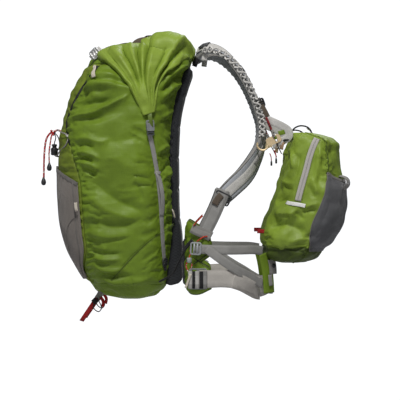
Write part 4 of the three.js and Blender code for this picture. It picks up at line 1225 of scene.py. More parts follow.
# Side straps: webbing down each side, its buckle, loop and foot.
for name, side in SIDES:
    strap, at, facing = strap_on_bag(f"compression_strap_{name}", [(-82, 279), (-80, 266)] + STRAP_LINE[1:], 10, 1.7,
                                     1.6, side)
    finish(strap, "strap_tape", "pack")
    keeper = int(len(at) * 0.30)
    doubled = slice(keeper, int(len(at) * 0.62))
    bow = np.sin(np.linspace(0, np.pi, doubled.stop - doubled.start))[:, None]
    finish(sweep(f"compression_strap_tail_{name}",
                 at[doubled] + facing[doubled] * (1.6 + 2.5 * bow) + [3.5, 0, 0] * bow,
                 web_profile(9.5, 1.5), up=facing[doubled]), "strap_tape", "pack")
    keeper_at = at[keeper] + facing[keeper] * 1.4 + np.array([[-6.5, 0, 0.8], [0, 0, 0], [6.5, 0, -0.8]])
    finish(sweep(f"compression_keeper_{name}", keeper_at, web_profile(7, 3.4), up=facing[keeper]), "grey_tape",
           "pack")
    finish(ladder_lock(f"compression_foot_lock_{name}", at[-4] + facing[-4] * 1.6, at[-1] - at[-6], facing[-4], 10,
                       15, 3.4), "black", "pack")
    finish(label(f"compression_foot_web_{name}", at[-3] + facing[-3] * 0.4, (0.12, 0, -1), facing[-3], 9, 14, 1.6,
                 0.3), "black_tape", "pack")
    for half in ("plug", "socket"):
        node = f"side_buckle_{half}_{name}"
        finish(rounded_node(node, 0.7), "dark_grey" if half == "plug" else "grey", "pack")
    low, high = node_box(f"side_buckle_plug_{name}")
    x, y = (low[0] + high[0]) / 2, (low[1] + high[1]) / 2
    # The buckle loop is dark green: painted shade where it sits in shadow at the buckle's top.
    finish(webbing(f"side_buckle_loop_{name}", [
        [(x + 1, y + 1.5 * side, high[2] - 5), (0, side, 0)], [(x, y + 3.4 * side, high[2] + 6), (0, side, 0.1)],
        [(x - 1, y + 2.4 * side, high[2] + 17), (0, side, 0.2)],
        [(x - 2, y - 1.5 * side, high[2] + 27), (0, side, 0.3)]], 10, 1.6),
           "dark_green", "pack")
    seam_strip, seam_at, seam_out = strap_on_bag(f"side_seam_{name}",
                                                 [(-166, -38), (-132, 0), (-92, 40), (-58, 66), (-40, 78), (-27, 88)],
                                                 2.6, 1.2, 0.7, side, calm=3)
    finish(seam_strip, "seam_green", "pack")
    stitch_at = seam_at[1:-1] + [1.6, 0, -2.4] + seam_out[1:-1] * 0.4
    stitches(f"side_seam_stitch_{name}", stitch_at, seam_out[1:-1], "thread", "pack")

# The strap over the top, its metal buckle and its folded tail.
over_tree = surface_of(roll_top, collar, front)
top_path = spline([(-222, 0, 446), (-204, 0, 470), (-174, 0, 482), (-140, 0, 487), (-114, 0, 486), (-100, 0, 491),
                   (-82, 0, 500), (-60, 0, 504)], 60)
top_path = laid_on(over_tree, top_path + [0, 0, 30], 1.8, np.array([-20.0, 0, 90.0]))
top_path = calmed(top_path)
top_path[:, 2] += 7 * bell(top_path[:, 0] + 101, 13)
tangent = np.gradient(top_path, axis=0)
top_up = unit(np.cross(tangent, [0, -1, 0])) * [1, 0, 1]
top_up *= np.sign(top_up[:, 2:3] + 1e-6)
finish(sweep("top_strap", top_path, web_profile(20, 1.8), up=top_up), "brown_tape", "pack")

lock_place = laid_on(surface_of(roll_top, collar, front, side_right), [(-197, -64, 455)], 4.0,
                     np.array([-20.0, -100.0, 12.0]))[0]
finish(webbing("top_strap_fold", [[(-124, -8, 477), (0, -1, .3)], [(-113, -10, 487), (0, -1, .2)],
                                  [(-100, -10, 491), (0, -1, .1)], [(-88, -9, 490), (0, -1, .2)],
                                  [(-78, -6, 486), (0, -1, .4)]], 18, 1.8), "brown_tape", "pack")
finish(ladder_lock("top_strap_lock", lock_place, (-0.7, 0.1, -0.7), (-0.3, -0.9, 0.25), 15, 19, 3.4), "silver",
       "pack")
tail_at = lock_place + np.array([(12, 1, 12), (4, 0.3, 4), (-3, -0.3, -3), (-9, 2.5, -11)])
finish(webbing("top_strap_tail", [[at, (-.3, -.9, .25)] for at in tail_at], 13, 1.5), "pale_tape", "pack")

# Lacing across the front, with its cord lock and the tapes it is held by.
for name, side in SIDES:
    lace_hook, out = on_bag([(-262, 276)], 1.0, side)
    hook_at = lace_hook[0]
    curve = [[-292, 10 * side, 292], [-288, 50 * side, 291], [-279, 86 * side, 285], hook_at + [0, 3 * side, 1.5],
             hook_at + [2, 4 * side, -3],
             [-266, 106 * side, 257], [-284, 64 * side, 242], [-293, 24 * side, 234], [-299, 4 * side, 236]]
    finish(cord(f"front_lace_{name}", curve, 1.7), "black_cord" if side == LEFT else "cord", "pack",
           "front_cord" if side == RIGHT else None)
    finish(webbing(f"lace_hook_{name}", [
        [hook_at + [6, -4 * side, -1], out[0]], [hook_at + [1, 2.5 * side, 0], out[0]],
        [hook_at + [-3, 4.5 * side, 0], out[0]]], 12, 2.2), "pale_tape", "pack")
    finish(dome(f"lace_rivet_{name}", hook_at + [3, 1 * side, 0], out[0], 2.6), "pale_grey", "pack")
lock_at = np.array([-300, 0, 236.0])
finish(lathe("front_cord_lock", [(0, 0), (5.4, 0), (7.2, 1), (8, 3.4), (7.6, 6), (8, 8.5), (8, 14.4), (7.4, 16),
                                 (6.2, 16.6), (5.4, 16.4),
                                 (5.3, 9), (0, 9)], lock_at, sides=28), "black", "pack")
finish(lathe("front_lock_plunger", [
    (0, 9.4), (4.9, 9.4), (4.9, 20.6), (5.4, 21.2), (6.1, 21.8), (6.2, 23.4), (5.4, 24.6), (3.2, 25.1), (0, 25.2)],
             lock_at, sides=28), "black", "front_lock_plunger")
knot = np.array([-300, -22, 287.0])
turns = np.linspace(0, 2 * np.pi, 60)
knot_path = knot + np.stack([4.2 * np.sin(turns) + 2.4 * np.sin(2 * turns), 3.6 * np.cos(3 * turns),
                             4.2 * np.cos(turns) - 2.4 * np.cos(2 * turns)], axis=1)
finish(sweep("cord_pulls", evenly(knot_path, 50)[:-1], ring_profile(2.3), closed=True), "red_cord", "cord_pulls")
tails = (([knot, (-307, -23, 285), (-315, -24, 274), (-319, -24, 256), (-321, -25, 226), (-321.5, -25, 186)],
          (-322, -25, 178)),
         ([knot, (-304, -25, 280), (-307, -27, 264), (-309.5, -29, 240), (-309, -29, 218)], (-309, -29, 210)))
for k, (path, end) in enumerate(tails):
    finish(cord(f"cord_tail_{k}", path, (2.3, 1.9)[k]), "red_cord", "cord_pulls")
    finish(lathe(f"cord_drop_{k}", [
        (0, -9.5), (2.6, -9), (4.6, -7.2), (5.6, -3.6), (5.4, -0.6), (4.2, 3), (2.6, 6.4), (2.0, 9), (0, 9.2)],
                 end, sides=20), "black", "cord_pulls")
finish(cord("cord_loose_end", [knot, knot + [7, -3, 4], knot + [15, -9, 3], knot + [21, -14, -2]], 2.0), "red_cord",
       "cord_pulls")
finish(cord("cord_thin_loop", [knot, knot + [5, -4, -12], knot + [2, -6, -28], knot + [8, -8, -42],
                               knot + [14, -10, -30], knot + [11, -8, -12], knot + [3, -3, -2]],
            1.2), "black_cord", "cord_pulls")
finish(cord("cord_hitch", [(-289, -10, 291), (-294, -14, 291), (-299, -20, 289), knot], 1.6), "lace", "cord_pulls")

# Ice axe loops: folded red tape with a dark keeper, sewn into the base seam.
for name, side in SIDES:
    top = np.array([-201, 62 * side, -80.0])
    down, sway = unit([-0.56, 0, -0.83]), np.array([0, side, 0.0])
    # Down and sideways from the top: along the outer face, round the end and back up the inner face.
    fold_at = [(0, 0), (18, 1.5), (40, 3), (56, 2.5), (61, 0), (57, -3), (40, -3.4), (14, -2)]
    faces_of = [sway, sway, sway, sway * 0.6 + down * 0.7, down, -sway * 0.6 + down * 0.7, -sway, -sway]
    stations = [[top + down * d + sway * w, f + np.array([0.25, 0, -0.15])] for (d, w), f in zip(fold_at, faces_of)]
    loop = f"ice_axe_loop_{name}"
    finish(webbing(loop, stations, 10, 1.6, 2.0), "red_tape", loop)
    keeper_at = [top + down * 7 + sway * 3.4 + [-5, 0, 3.6], top + down * 8 + sway * 4.4,
                 top + down * 9 + sway * 3.4 + [5, 0, -3.6]]
    finish(webbing(f"ice_axe_keeper_{name}", [[p, sway] for p in keeper_at], 11, 2.0), "black_tape", loop)
    cord_at = [top + sway * 3] + [top + [x, y * side, z] for x, y, z in (
        (6, 4, -10), (10, 5, -22), (3, 5, -30), (-8, 5, -20), (-2, 3, -4))]
    finish(cord(f"ice_axe_cord_{name}", cord_at, 1.2), "black_cord", loop)
    seam_at = np.array(bag_tree.find_nearest(Vector((-194, 58 * side, -72)))[0])
    anchor_at = [seam_at + [1, 0, 5], (seam_at + top) / 2, top + down * 1]
    finish(webbing(f"ice_axe_anchor_{name}", [[p, sway] for p in anchor_at], 12, 3.0), "grey_tape", "pack")
    stub_at = [top + [8, 2 * side, 2], top + [14, 4 * side, -8], top + [12, 4 * side, -20]]
    finish(webbing(f"ice_axe_stub_{name}", [[p, sway] for p in stub_at], 7, 1.6), "red_tape", loop)

# The haul loop.
rise_way = unit([0.44, 0, 1])
arch = [(-26.6, 0), (-26.9, 14), (-26.2, 28), (-20, 38), (-9, 41), (9, 41), (20, 38), (26.2, 28), (26.9, 14),
        (26.6, 0)]
arch_at = [np.array([13, 0, 437]) + np.array([0, y, 0]) + rise_way * h for y, h in arch]
arch_out = [unit(np.array([0, y, 0]) + rise_way * max(0, h - 16)) for y, h in arch]
finish(webbing("haul_loop", list(zip(arch_at, arch_out)), 11, 2.4), "black_tape", "haul_loop")


# ------------------------------------------------------------------ back pads

def pillow(name, outer, inner, edge=3.0):
    """A padded shape between two grids, closed all round by a rounded edge."""
    middle = (outer + inner) / 2
    r, c = outer.shape[:2]
    away = np.minimum(np.minimum(np.arange(r), np.arange(r)[::-1])[:, None],
                      np.minimum(np.arange(c), np.arange(c)[::-1])[None])
    full = np.sqrt(1 - (1 - np.clip(away / edge, 0, 1)) ** 2)[..., None]
    front_grid, rear_grid = middle + (outer - middle) * (0.12 + 0.88
                                                         * full), middle + (inner - middle) * (0.12 + 0.88 * full)
    faces = grid_faces(r, c) + grid_faces(r, c, start=r * c, flip=True) + rim_faces(r, c)
    uvs = grid_uvs(outer).reshape(-1, 2)
    return new_object(name, np.concatenate([front_grid.reshape(-1, 3), rear_grid.reshape(-1, 3)]), faces,
                      np.concatenate([uvs, uvs]))


pad_front = table([(-52, -16), (-40, -13.2), (0, -13), (56, -13), (110, -19), (180, -20), (260, -20), (330, -14),
                   (385, 0), (425, 14)])
PAD_HALF, PAD_LOW, PAD_HIGH = 85, -51, 424
PAD_CHANNELS = (104, 172, 240, 308, 376)  # heights of the slanting air channels at the middle
yy, zz = np.meshgrid(np.linspace(-PAD_HALF, PAD_HALF, 60), np.linspace(PAD_LOW, PAD_HIGH, 130))
quilt = 4.5 * bell(yy, 11) + 2.6 * sum(bell(zz - level + 14 * np.abs(yy / PAD_HALF), 5) for level in PAD_CHANNELS)
x_front = pad_front(zz)[..., 0] - quilt - 1.5 * np.abs(yy / PAD_HALF) ** 3
outer_pad = np.stack([x_front, yy, zz], axis=-1)
rear, bag_front, half = [BAG.at(zz)[..., k] for k in range(3)]
bag_skin = (rear + bag_front) / 2 + (bag_front - rear) / 2 * np.maximum(0, 1 - np.abs(yy / half) ** 4) ** 0.25
inner_pad = np.stack([np.minimum(bag_skin - 3, pad_front(zz)[..., 0] - 12), yy, zz], axis=-1)
pad = pillow("back_pad", outer_pad, inner_pad, 4)
finish(pad, "spacer", "pack")
yy, zz = np.meshgrid(np.linspace(-77.5, 77.5, 60), np.linspace(-49.5, 49.5, 44))
face_x = -0.2 - 1.6 * (np.abs(zz / 50) ** 6 + np.abs(yy / 78) ** 6) - 0.7 * (bell(zz, 4) + bell(np.abs(yy) - 30, 4))
finish(pillow("lumbar_pad", np.stack([face_x, yy, zz], axis=-1), np.stack([face_x * 0 - 12.3, yy, zz], axis=-1), 4),
       "spacer", "pack")
finish(sweep("lumbar_binding",
             evenly(np.array([(-6, -77, -49), (-6, 77, -49), (-6, 77, 49), (-6, -77, 49), (-6, -77, -49)], float),
                    121)[:-1],
             ring_profile(2.2), closed=True), "black_tape", "pack")


# ------------------------------------------------------------------ harness

def pad_profile(width, thickness, sides=20):
    angle = (np.arange(sides) + 0.5) * 2 * math.pi / sides
    c, s_ = np.cos(angle), np.sin(angle)
    return np.stack([width / 2 * np.sign(c) * np.abs(c) ** 0.35, thickness / 2 * np.sign(s_) * np.abs(s_) ** 0.85],
                    axis=1)


def mirror(side, *point):
    x, y, z = point
    return np.array([x, y * -side, z], float)


def line(side, points):
    """Places given for the wearer's right, where Y is negative, moved to this side."""
    return [mirror(side, *p) for p in points]


def facing_line(side, stations):
    """Webbing stations for the wearer's right, X, Y, Z and the way they face, which is outwards if left out."""
    return [[mirror(side, *s[:3]), mirror(side, *(s[3:] or (0, -1, 0)))] for s in stations]


SHOULDER = [
    ((25, -60, 452), (-.2, -.1, 1), 42), ((46, -70, 463), (0, -.15, 1), 52), ((75, -84, 457), (.35, -.15, .95), 60),
    ((104, -91, 430), (.65, -.1, .75), 62), ((129, -94, 392), (.85, -.1, .5), 62),
    ((149, -94, 345), (.95, -.1, .3), 58),
    ((161, -95, 300), (1, -.1, .1), 54), ((160, -101, 258), (1, -.3, -.1), 50),
    ((146, -113, 224), (.85, -.55, -.15), 47),
    ((125, -130, 191), (.55, -.85, -.1), 44), ((97, -148, 163), (.2, -1, 0), 40), ((76, -157, 142), (0, -1, 0), 36)]


STRAP_STATIONS = 120
WEBBING_RISE = 6.4  # from the middle of the padded strap to the webbing on its face
SLIDE_LOCK, LOW_LOCK = 31, 53  # stations of the small lock at the chest and of the one above the pocket


def shoulder_frame(side, count=STRAP_STATIONS):
    """Places along a shoulder strap with its along, outward and across directions and its width."""
    at = spline([mirror(side, *s[0]) for s in SHOULDER], 12 * len(SHOULDER))
    out = spline([mirror(side, *s[1]) for s in SHOULDER], 12 * len(SHOULDER))
    width = spline([(s[2], 0) for s in SHOULDER], 12 * len(SHOULDER))[:, :1]
    both = evenly(np.concatenate([at, out * 1e-3, width * 1e-3], axis=1), count)
    at, out, width = both[:, :3], both[:, 3:6], both[:, 6] * 1e3
    along = unit(np.gradient(at, axis=0))
    out = unit(out - along * np.sum(out * along, axis=1, keepdims=True))
    across = np.cross(out, along)
    return at, along, out, across, width


class Side:
    """What the pieces of one side share: the end of their names, how their places are mirrored and their body."""

    def __init__(self, kind, name, side):
        self.name, self.side, self.body = name, side, f"{kind}_{name}"

    def own(self, piece):
        return f"{piece}_{self.name}"

    def put(self, obj, look, **options):
        return finish(obj, look, self.body, **options)

    def band(self, piece, look, width, thickness, stations):
        return self.put(webbing(self.own(piece), facing_line(self.side, stations), width, thickness), look)

    def string(self, piece, look, radius, points, step=2.5):
        return self.put(cord(self.own(piece), line(self.side, points), radius, step), look)

    def lock(self, piece, look, at, along, out, *size):
        places = [mirror(self.side, *v) for v in (at, along, out)]
        return self.put(ladder_lock(self.own(piece), *places, *size), look)


def shoulder(h):
    """The padded strap with its bound edges, centre webbing, lattice of cord, load lifter and locks."""
    at, along, out, across, width = shoulder_frame(h.side)
    away = 1.0 if np.sign(across[len(at) // 2, 1]) == h.side else -1.0  # the way across that points from the body
    profiles = np.array([pad_profile(w - 3, 11.6) for w in width])
    share = np.linspace(0, 1, len(at))
    profiles[:, :, 1] *= (0.9 + 0.04 * np.sin(share * 60) ** 2 + 0.03 * waves(at, 30, 3, 1))[:, None]
    h.put(sweep(h.own("shoulder_strap"), at, profiles, up=out), "padding")
    for k, edge_side in enumerate((-1, 1)):
        edge = at + across * (edge_side * (width[:, None] / 2 - 1.6))
        h.put(sweep(h.own(f"shoulder_binding_{k}"), edge, web_profile(3.2, 7.0), up=out), "grey_tape")
    middle = slice(4, STRAP_STATIONS - 1)
    h.put(sweep(h.own("daisy_webbing"), at[middle] + out[middle] * WEBBING_RISE, web_profile(19, 1.6),
                up=out[middle]), "pale_tape")
    for k in range(8, 92, 12):
        bar = np.array([at[k] + across[k] * d + out[k] * 7.6 for d in (-8.5, 0, 8.5)])
        h.put(sweep(h.own(f"bartack_{k}"), bar, web_profile(2.4, 1.2), up=out[k]), "grey_thread")
        span = slice(k + 1, k + 12)
        arch = at[span] + out[span] * (7.0 + 1.2 * np.sin(math.pi * np.arange(11) / 10))[:, None]
        h.put(sweep(h.own(f"daisy_loop_{k}"), arch, web_profile(13, 1.3), up=out[span]), "strap_tape")
    weave, stations = np.linspace(6, 74, 150), np.arange(len(at))
    edge = read_off(weave, stations, at + across * away * (width[:, None] / 2 - 5))
    up_at, side_at = read_off(weave, stations, out), read_off(weave, stations, across) * away
    for strand in (0, 1):
        turn = weave * 0.95 + strand * math.pi
        sideways, upwards = 6.6 + 1.2 * np.cos(turn + 0.4), 3.5 + 6.0 * np.sin(turn)
        lattice = edge + side_at * sideways[:, None] + up_at * upwards[:, None]
        h.put(sweep(h.own(f"lattice_cord_{strand}"), lattice, ring_profile(2.1, 6)),
              "lace" if strand else "pale_tape")

    # Load lifter webbing and its buckle.
    h.band("load_lifter", "pale_tape", 24, 1.8, [
        (20, -64, 466, -.2, -.6, .8), (34, -74, 472, -.1, -.6, .8), (50, -85, 473, 0, -.6, .8),
        (72, -97, 463, .3, -.65, .7), (92, -105, 445, .5, -.65, .6)])
    h.lock("lifter_lock", "black", (36, -71, 476), (0.85, -.5, 0.15), (-.1, -.45, 1), 20, 18, 4)
    h.band("lifter_tail", "pale_tape", 12, 1.5, [(40, -86, 466, 0, -1, .3), (37, -89, 454, 0, -1, .1),
                                                 (35, -90, 441)])
    h.lock("strap_lock", "black", (88, -88, 452), (0.62, -.1, -.72), (.7, -.1, .7), 22, 17, 3.6)
    k = SLIDE_LOCK
    h.put(ladder_lock(h.own("slide_lock"), at[k] + out[k] * 8.5 + across[k] * away * 9, along[k], out[k], 14, 13, 3),
          "black")
    k = LOW_LOCK
    h.put(ladder_lock(h.own("pocket_lock"), at[k] + out[k] * 9.5 + across[k] * away * 14, along[k],
                      out[k] + across[k] * away, 18, 17, 4.4), "black")
    path = []
    for j in range(k - 3, k + 10, 3):
        outwards = across[j] * away
        path.append([at[j] + out[j] * (10 + 0.75 * (j - k)) + outwards * 14, out[j] + outwards])
    h.put(webbing(h.own("lock_web"), path, 14, 1.8), "brown_tape")


def lower_strap(h):
    """The strap below the shoulder pad, its adjuster and the short tab it is sewn to."""
    h.band("lower_strap", "strap_tape", 31, 1.8, [
        (76, -166, 158, .1, -1, 0), (68, -169.5, 136, .05, -1, 0), (54, -172, 104), (40, -172, 76, -.1, -1, 0),
        (33, -171, 62, -.1, -1, 0)])
    h.lock("lower_lock", "black", (74, -166, 140), (.5, 0, 1), (.1, -1, 0), 30, 22, 4.2)
    h.band("lower_tan_web", "brown_tape", 14, 1.6, [
        (72, -170, 147, .1, -1, .1), (64, -173, 138, .1, -1, .1), (57, -174, 126)])
    h.band("fin_tab", "grey_tape", 21, 1.8, [
        (8, -166, 76, -.2, -1, 0), (24, -171.5, 68, -.1, -1, 0), (42, -174, 61), (50, -175, 57)])


FIN_LONG, FIN_COLUMNS, FIN_ROWS = 118, 60, 64
FIN_QUILT = (-36, 2, 44)  # heights of the quilting lines at the rear


def hip_fin(h):
    """The padded hip fin with a stitched quilt and a bound edge."""
    rows_of_fin = table([(0, 0, -84, -46, 50, 8), (26, -1, -108, -52, 70, 12), (51, 1, -132, -60, 90, 12),
                         (71, 8, -151, -66, 88, 12),
                         (91, 24, -162, -66, 76, 12), (FIN_LONG, 50, -170, -54, 46, 9)])
    station = np.linspace(0, FIN_LONG, FIN_COLUMNS)
    fin = rows_of_fin(station)
    tangent = unit(np.gradient(fin[:, :2], axis=0))
    normal = np.stack([tangent[:, 1], -tangent[:, 0], np.zeros(FIN_COLUMNS)], axis=1)
    up = np.linspace(0, 1, FIN_ROWS)
    notch = 22 * ease((station - 92) / 26)
    fin_z = fin[:, 2][None] + (fin[:, 3] - fin[:, 2])[None] * up[:, None]
    centre = np.stack([np.broadcast_to(fin[:, 0], fin_z.shape), np.broadcast_to(fin[:, 1], fin_z.shape), fin_z],
                      axis=-1)
    pull_back = notch[None] * bell(fin_z - 2, 11)
    centre[..., 0] -= pull_back * tangent[None, :, 0]
    centre[..., 1] -= pull_back * tangent[None, :, 1]
    quilted = fin[:, 4][None] / 2 - 2.2 * sum(bell(fin_z - level - 0.15 * station[None], 3.2) for level in FIN_QUILT)
    quilted = quilted + 0.9 * waves(centre, 26, 17, 2)
    sign = -1 if normal[FIN_COLUMNS // 2, 1] > 0 else 1
    outer = centre + normal[None] * sign * quilted[..., None]
    inner = centre - normal[None] * sign * (fin[:, 4][None, :, None] / 2)
    for grid in (outer, inner):
        grid[..., 1] *= -h.side
    grids = (outer, inner) if h.side == RIGHT else (outer[:, ::-1], inner[:, ::-1])
    h.put(pillow(h.own("hip_fin"), *grids, 4), "green")
    rim = np.concatenate([centre[0], centre[1:, -1], centre[-1, -2::-1], centre[-2:0:-1, 0]])
    rim[:, 1] *= -h.side
    h.put(sweep(h.own("hip_fin_binding"), evenly(np.concatenate([rim, rim[:1]]), 170)[:-1], ring_profile(1.9),
                closed=True), "dark_green")


def hip_belt(h):
    """Belt webbing with the loose fold at its front, and the adjuster and buckle it is threaded through."""
    h.band("hip_webbing", "wide_tape", 38, 1.9, [
        (24, -181, -33, -.1, -1, 0), (46, -183, -33), (75, -184, -32), (104, -178, -35, .3, -1, .05),
        (126, -160, -42, .6, -.8, .1), (143, -137, -50, .8, -.6, .1), (155, -107, -56, .9, -.4, 0),
        (169, -76, -54, 1, -.3, 0), (180, -44, -50, 1, -.15, 0)])
    h.band("hip_webbing_fold", "wide_tape", 34, 1.6, [
        (96, -182, -36, .2, -1, 0), (116, -172, -43, .4, -.9, -.1), (134, -155, -53, .6, -.8, -.2),
        (147, -136, -61, .75, -.65, -.1), (156, -116, -64, .9, -.4, 0)])
    half, slot_y = (3.0, -35.5) if h.side == RIGHT else (6.5, -34.5)
    front, behind = 183 + half + 1.4, 183 - half - 1.4
    h.band("hip_webbing_loop", "wide_tape", 35, 1.6, [
        (172.8, -76, -53, 1, -.3, 0), (176.8, -66, -52, 1, -.3, 0), (181.5, -56, -51, 1, -.4, 0),
        (front - 1, -46, -49.5, 1, -.2, 0), (front, slot_y - 4.5, -49, 1, 0, 0), (183, slot_y, -49, 0, 1, 0),
        (behind, slot_y - 4.5, -49, -1, 0, 0), (behind, -46, -49, -1, 0, 0)])
    node = h.own("hip_adjuster")
    finish(rounded_node(node, 0.8), "grey", node)
    turns = ((5, -182, "pale_tape"), (12.5, -179.5, "black_tape"), (20, -183, "pale_tape"), (29, -185, "black_tape"),
             (37, -186.4, "strap_tape"))
    for k, (x, y, look) in enumerate(turns):
        stations = [(x - 4, y + 3.4, -35, -1, -1, 0), (x, y, -35), (x + 4, y + 2.4, -35, .6, -1, 0)]
        turn = webbing(h.own(f"adjuster_turn_{k}"), facing_line(h.side, stations), 38 - k % 2, 1.7, 1.6)
        finish(turn, look, h.body if k else node)
    h.band("belt_tail", "cream", 5, 1.5, [
        (6, -184, -22, -.1, -1, 0), (1, -184, -36, -.2, -1, 0), (-5, -182, -52, -.3, -1, 0)])


def fin_straps(h):
    """Webbing from the fin to the foot of the pocket, the slanting strap below it and the upright front panel."""
    h.band("pocket_strap", "strap_tape", 20, 1.8, [
        (16, -176, 31, -.1, -1, 0), (50, -182, 30), (85, -184, 29, .1, -1, 0), (120, -168, 29, .6, -.9, 0),
        (138, -154, 29, .7, -.7, 0), (150, -142, 28, .7, -.7, 0), (162, -130, 26, .7, -.7, 0)])
    h.lock("pocket_strap_lock", "grey", (17, -178.5, 32), (1, -.12, -.05), (-.1, -1, 0), 20, 21, 4)
    h.band("slanting_strap", "strap_tape", 19, 1.6, [
        (40, -182.5, 32), (58, -185.5, 18, .05, -1, 0), (82, -186, 1, .1, -1, 0), (106, -181, -14, .3, -1, 0),
        (128, -165, -26, .6, -.8, 0), (146, -145, -37, .7, -.7, 0), (162, -129, -46, .7, -.7, 0)])

    # The upright front panel: green edges, webbing over its middle and an oval black grommet.
    h.band("hip_front_tab", "green", 29, 3.0, [
        (164, -129, 20, .6, -.8, 0), (170, -126, -6, .6, -.8, 0), (174, -124, -34, .6, -.8, 0),
        (176, -122, -66, .6, -.8, 0)])
    h.band("front_tab_web", "grey_tape", 20, 2.2, [
        (181, -122.5, 8, .6, -.8, 0), (184, -121, -8, .6, -.8, 0), (185, -120, -25, .6, -.8, 0)])
    h.band("front_tab_low_web", "grey_tape", 10, 1.8, [(178, -126, -26, .6, -.8, 0), (180, -124.5, -50, .6, -.8, 0)])
    h.put(dome(h.own("front_tab_grommet"), mirror(h.side, 186.5, -121, -7), mirror(h.side, .6, -.8, 0), 4.8, 2.4),
          "spot")


def fin_cords(h):
    """The stabiliser's shock cord, the small lock and the red pulls on the fin."""
    h.string("red_line_upper", "orange_cord", 1.3, [(12, -170, 81), (22, -173, 92), (32, -173.5, 102)])
    h.string("red_line_lower", "orange_cord", 1.6, [(19, -176, 46), (26, -177.5, 52), (34, -176, 57), (42, -176, 58)])
    h.string("red_line_side", "orange_cord", 1.5, [(4, -172, 28), (6, -175, 22), (3, -175, 12), (5, -174, 4)])
    h.string("red_v", "red_cord", 1.4, [
        (1, -170, 6), (-4, -171, -4), (-1, -173, -14), (3, -174, -18), (7, -173.5, -10), (9, -172, 0)])
    h.put(lathe(h.own("fin_cord_lock"), [(0, -5.5), (4.4, -5.5), (5.4, -4), (5.4, 4), (4.6, 5.5), (0, 5.5)],
                mirror(h.side, 3, -173.5, 7), (0, 0, 1), 16), "grey")
    h.string("net_line_1", "black_cord", 0.8, [(10, -167, 14), (24, -171, 4), (40, -172.5, -4), (46, -173.5, -8)])
    h.string("net_line_2", "black_cord", 0.8, [(12, -167, -2), (26, -171, 8), (42, -172.5, 20)])
    foot = np.array(bag_tree.find_nearest(Vector(mirror(h.side, -58, -122, -44)))[0])
    shock = line(h.side, [(7, -166, 46), (-6, -158, 28), (-20, -149, 2), (-34, -138, -24)]) + [foot]
    stabiliser = finish(cord(h.own("stabiliser_cord"), shock, 2.3), "black_cord", None)
    metres(shock[-1])
    metres(shock[0])
    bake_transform(stabiliser)
    h.band("stabiliser_web", "black_tape", 8, 2.0, [
        (10, -168, 50, -.3, -1, 0), (2, -164, 41, -.3, -1, 0), (-6, -158, 32, -.4, -1, 0)])


def pocket_hook(h):
    """The pocket's top strap, webbing that doubles back at its fold, with its hook, cords and tags."""
    strap_y = -129.0
    fold_path = [(172, strap_y + 2, 311), (190, strap_y, 303), (206, strap_y - .6, 295), (217, strap_y - 1, 287),
                 (220, strap_y - 1, 277), (214, strap_y - 1, 269), (203, strap_y - 1.4, 264),
                 (194, strap_y - 1.4, 262)]
    top_strap = finish(webbing(h.own("pocket_top_strap"), facing_line(h.side, fold_path), 17, 1.8), "pale_tape", None)
    h.own("pocket")
    metres(mirror(h.side, 176, -127, 309))
    metres(mirror(h.side, 220, -130, 280))
    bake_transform(top_strap)
    node = h.own("pocket_hook")
    h.put(rounded_node(node, 0.9), "gold")
    h.string("red_braid", "dark_red_cord", 3.0, [
        (170, -128, 314), (173, -132, 306), (178, -133, 294), (181, -133, 286)], 1.5)
    h.string("grey_braid", "cord", 3.4, [(181, -133, 288), (184, -133, 280), (186, -133.5, 272)], 1.5)
    h.string("thin_red_cord", "red_cord", 1.2, [(187, -131, 244), (190, -131, 236), (191, -131, 226)])
    h.put(lathe(h.own("cord_tip"), [(0, -6), (1.8, -6), (2.4, -4), (2.2, 3), (1.2, 6), (0, 6)],
                mirror(h.side, 191, -131, 221), (0, 0, 1), 12), "black")
    h.string("thin_black_cord", "black_cord", 1.1, [
        (182, -131, 284), (190, -132, 262), (198, -131, 246), (203, -129, 236)])
    h.put(label(h.own("green_tag"), mirror(h.side, 196, -131, 280), (0.9, 0, 0.25), mirror(h.side, 0, -1, 0), 10, 14,
                1.2), "green")


for name, side in SIDES:
    harness = Side("harness", name, side)
    for build in (shoulder, lower_strap, hip_fin, hip_belt, fin_straps, fin_cords, pocket_hook):
        build(harness)
for node, body in (("hip_buckle_plug", "harness_right"), ("hip_buckle_socket", "harness_left"),
                   ("hip_buckle_prong_upper", "hip_buckle_prong_upper"),
                   ("hip_buckle_prong_lower", "hip_buckle_prong_lower")):
    finish(rounded_node(node, 0.8), "grey", body)


# ------------------------------------------------------------------ balance pockets

POCKET_SEAM, POCKET_TOP = 32, 282  # heights of the base seam and of the top
POCKET_SHARES = (30, 12, 10)  # columns from the rear's middle to the patch, to the corner, to the front's middle
BASE_ROWS, SHELL_ROWS, PATCH_COLUMNS = 8, 61, 90
POCKET = SoftForm([(0, -44, -2, 46), (8, -64, 18, 62), (30, -75, 38, 72), (60, -80, 60, 76), (100, -64, 78, 78),
                   (135, -50, 83, 77),
                   (190, -36, 80, 69), (240, -28, 72, 61), (268, -22, 63, 54), (POCKET_TOP, -24, 24, 40)], 3.2, 4.0)
POCKET_ZIP = [(42, 268), (35, 249), (28, 226), (22, 199), (14, 168), (6, 134)]
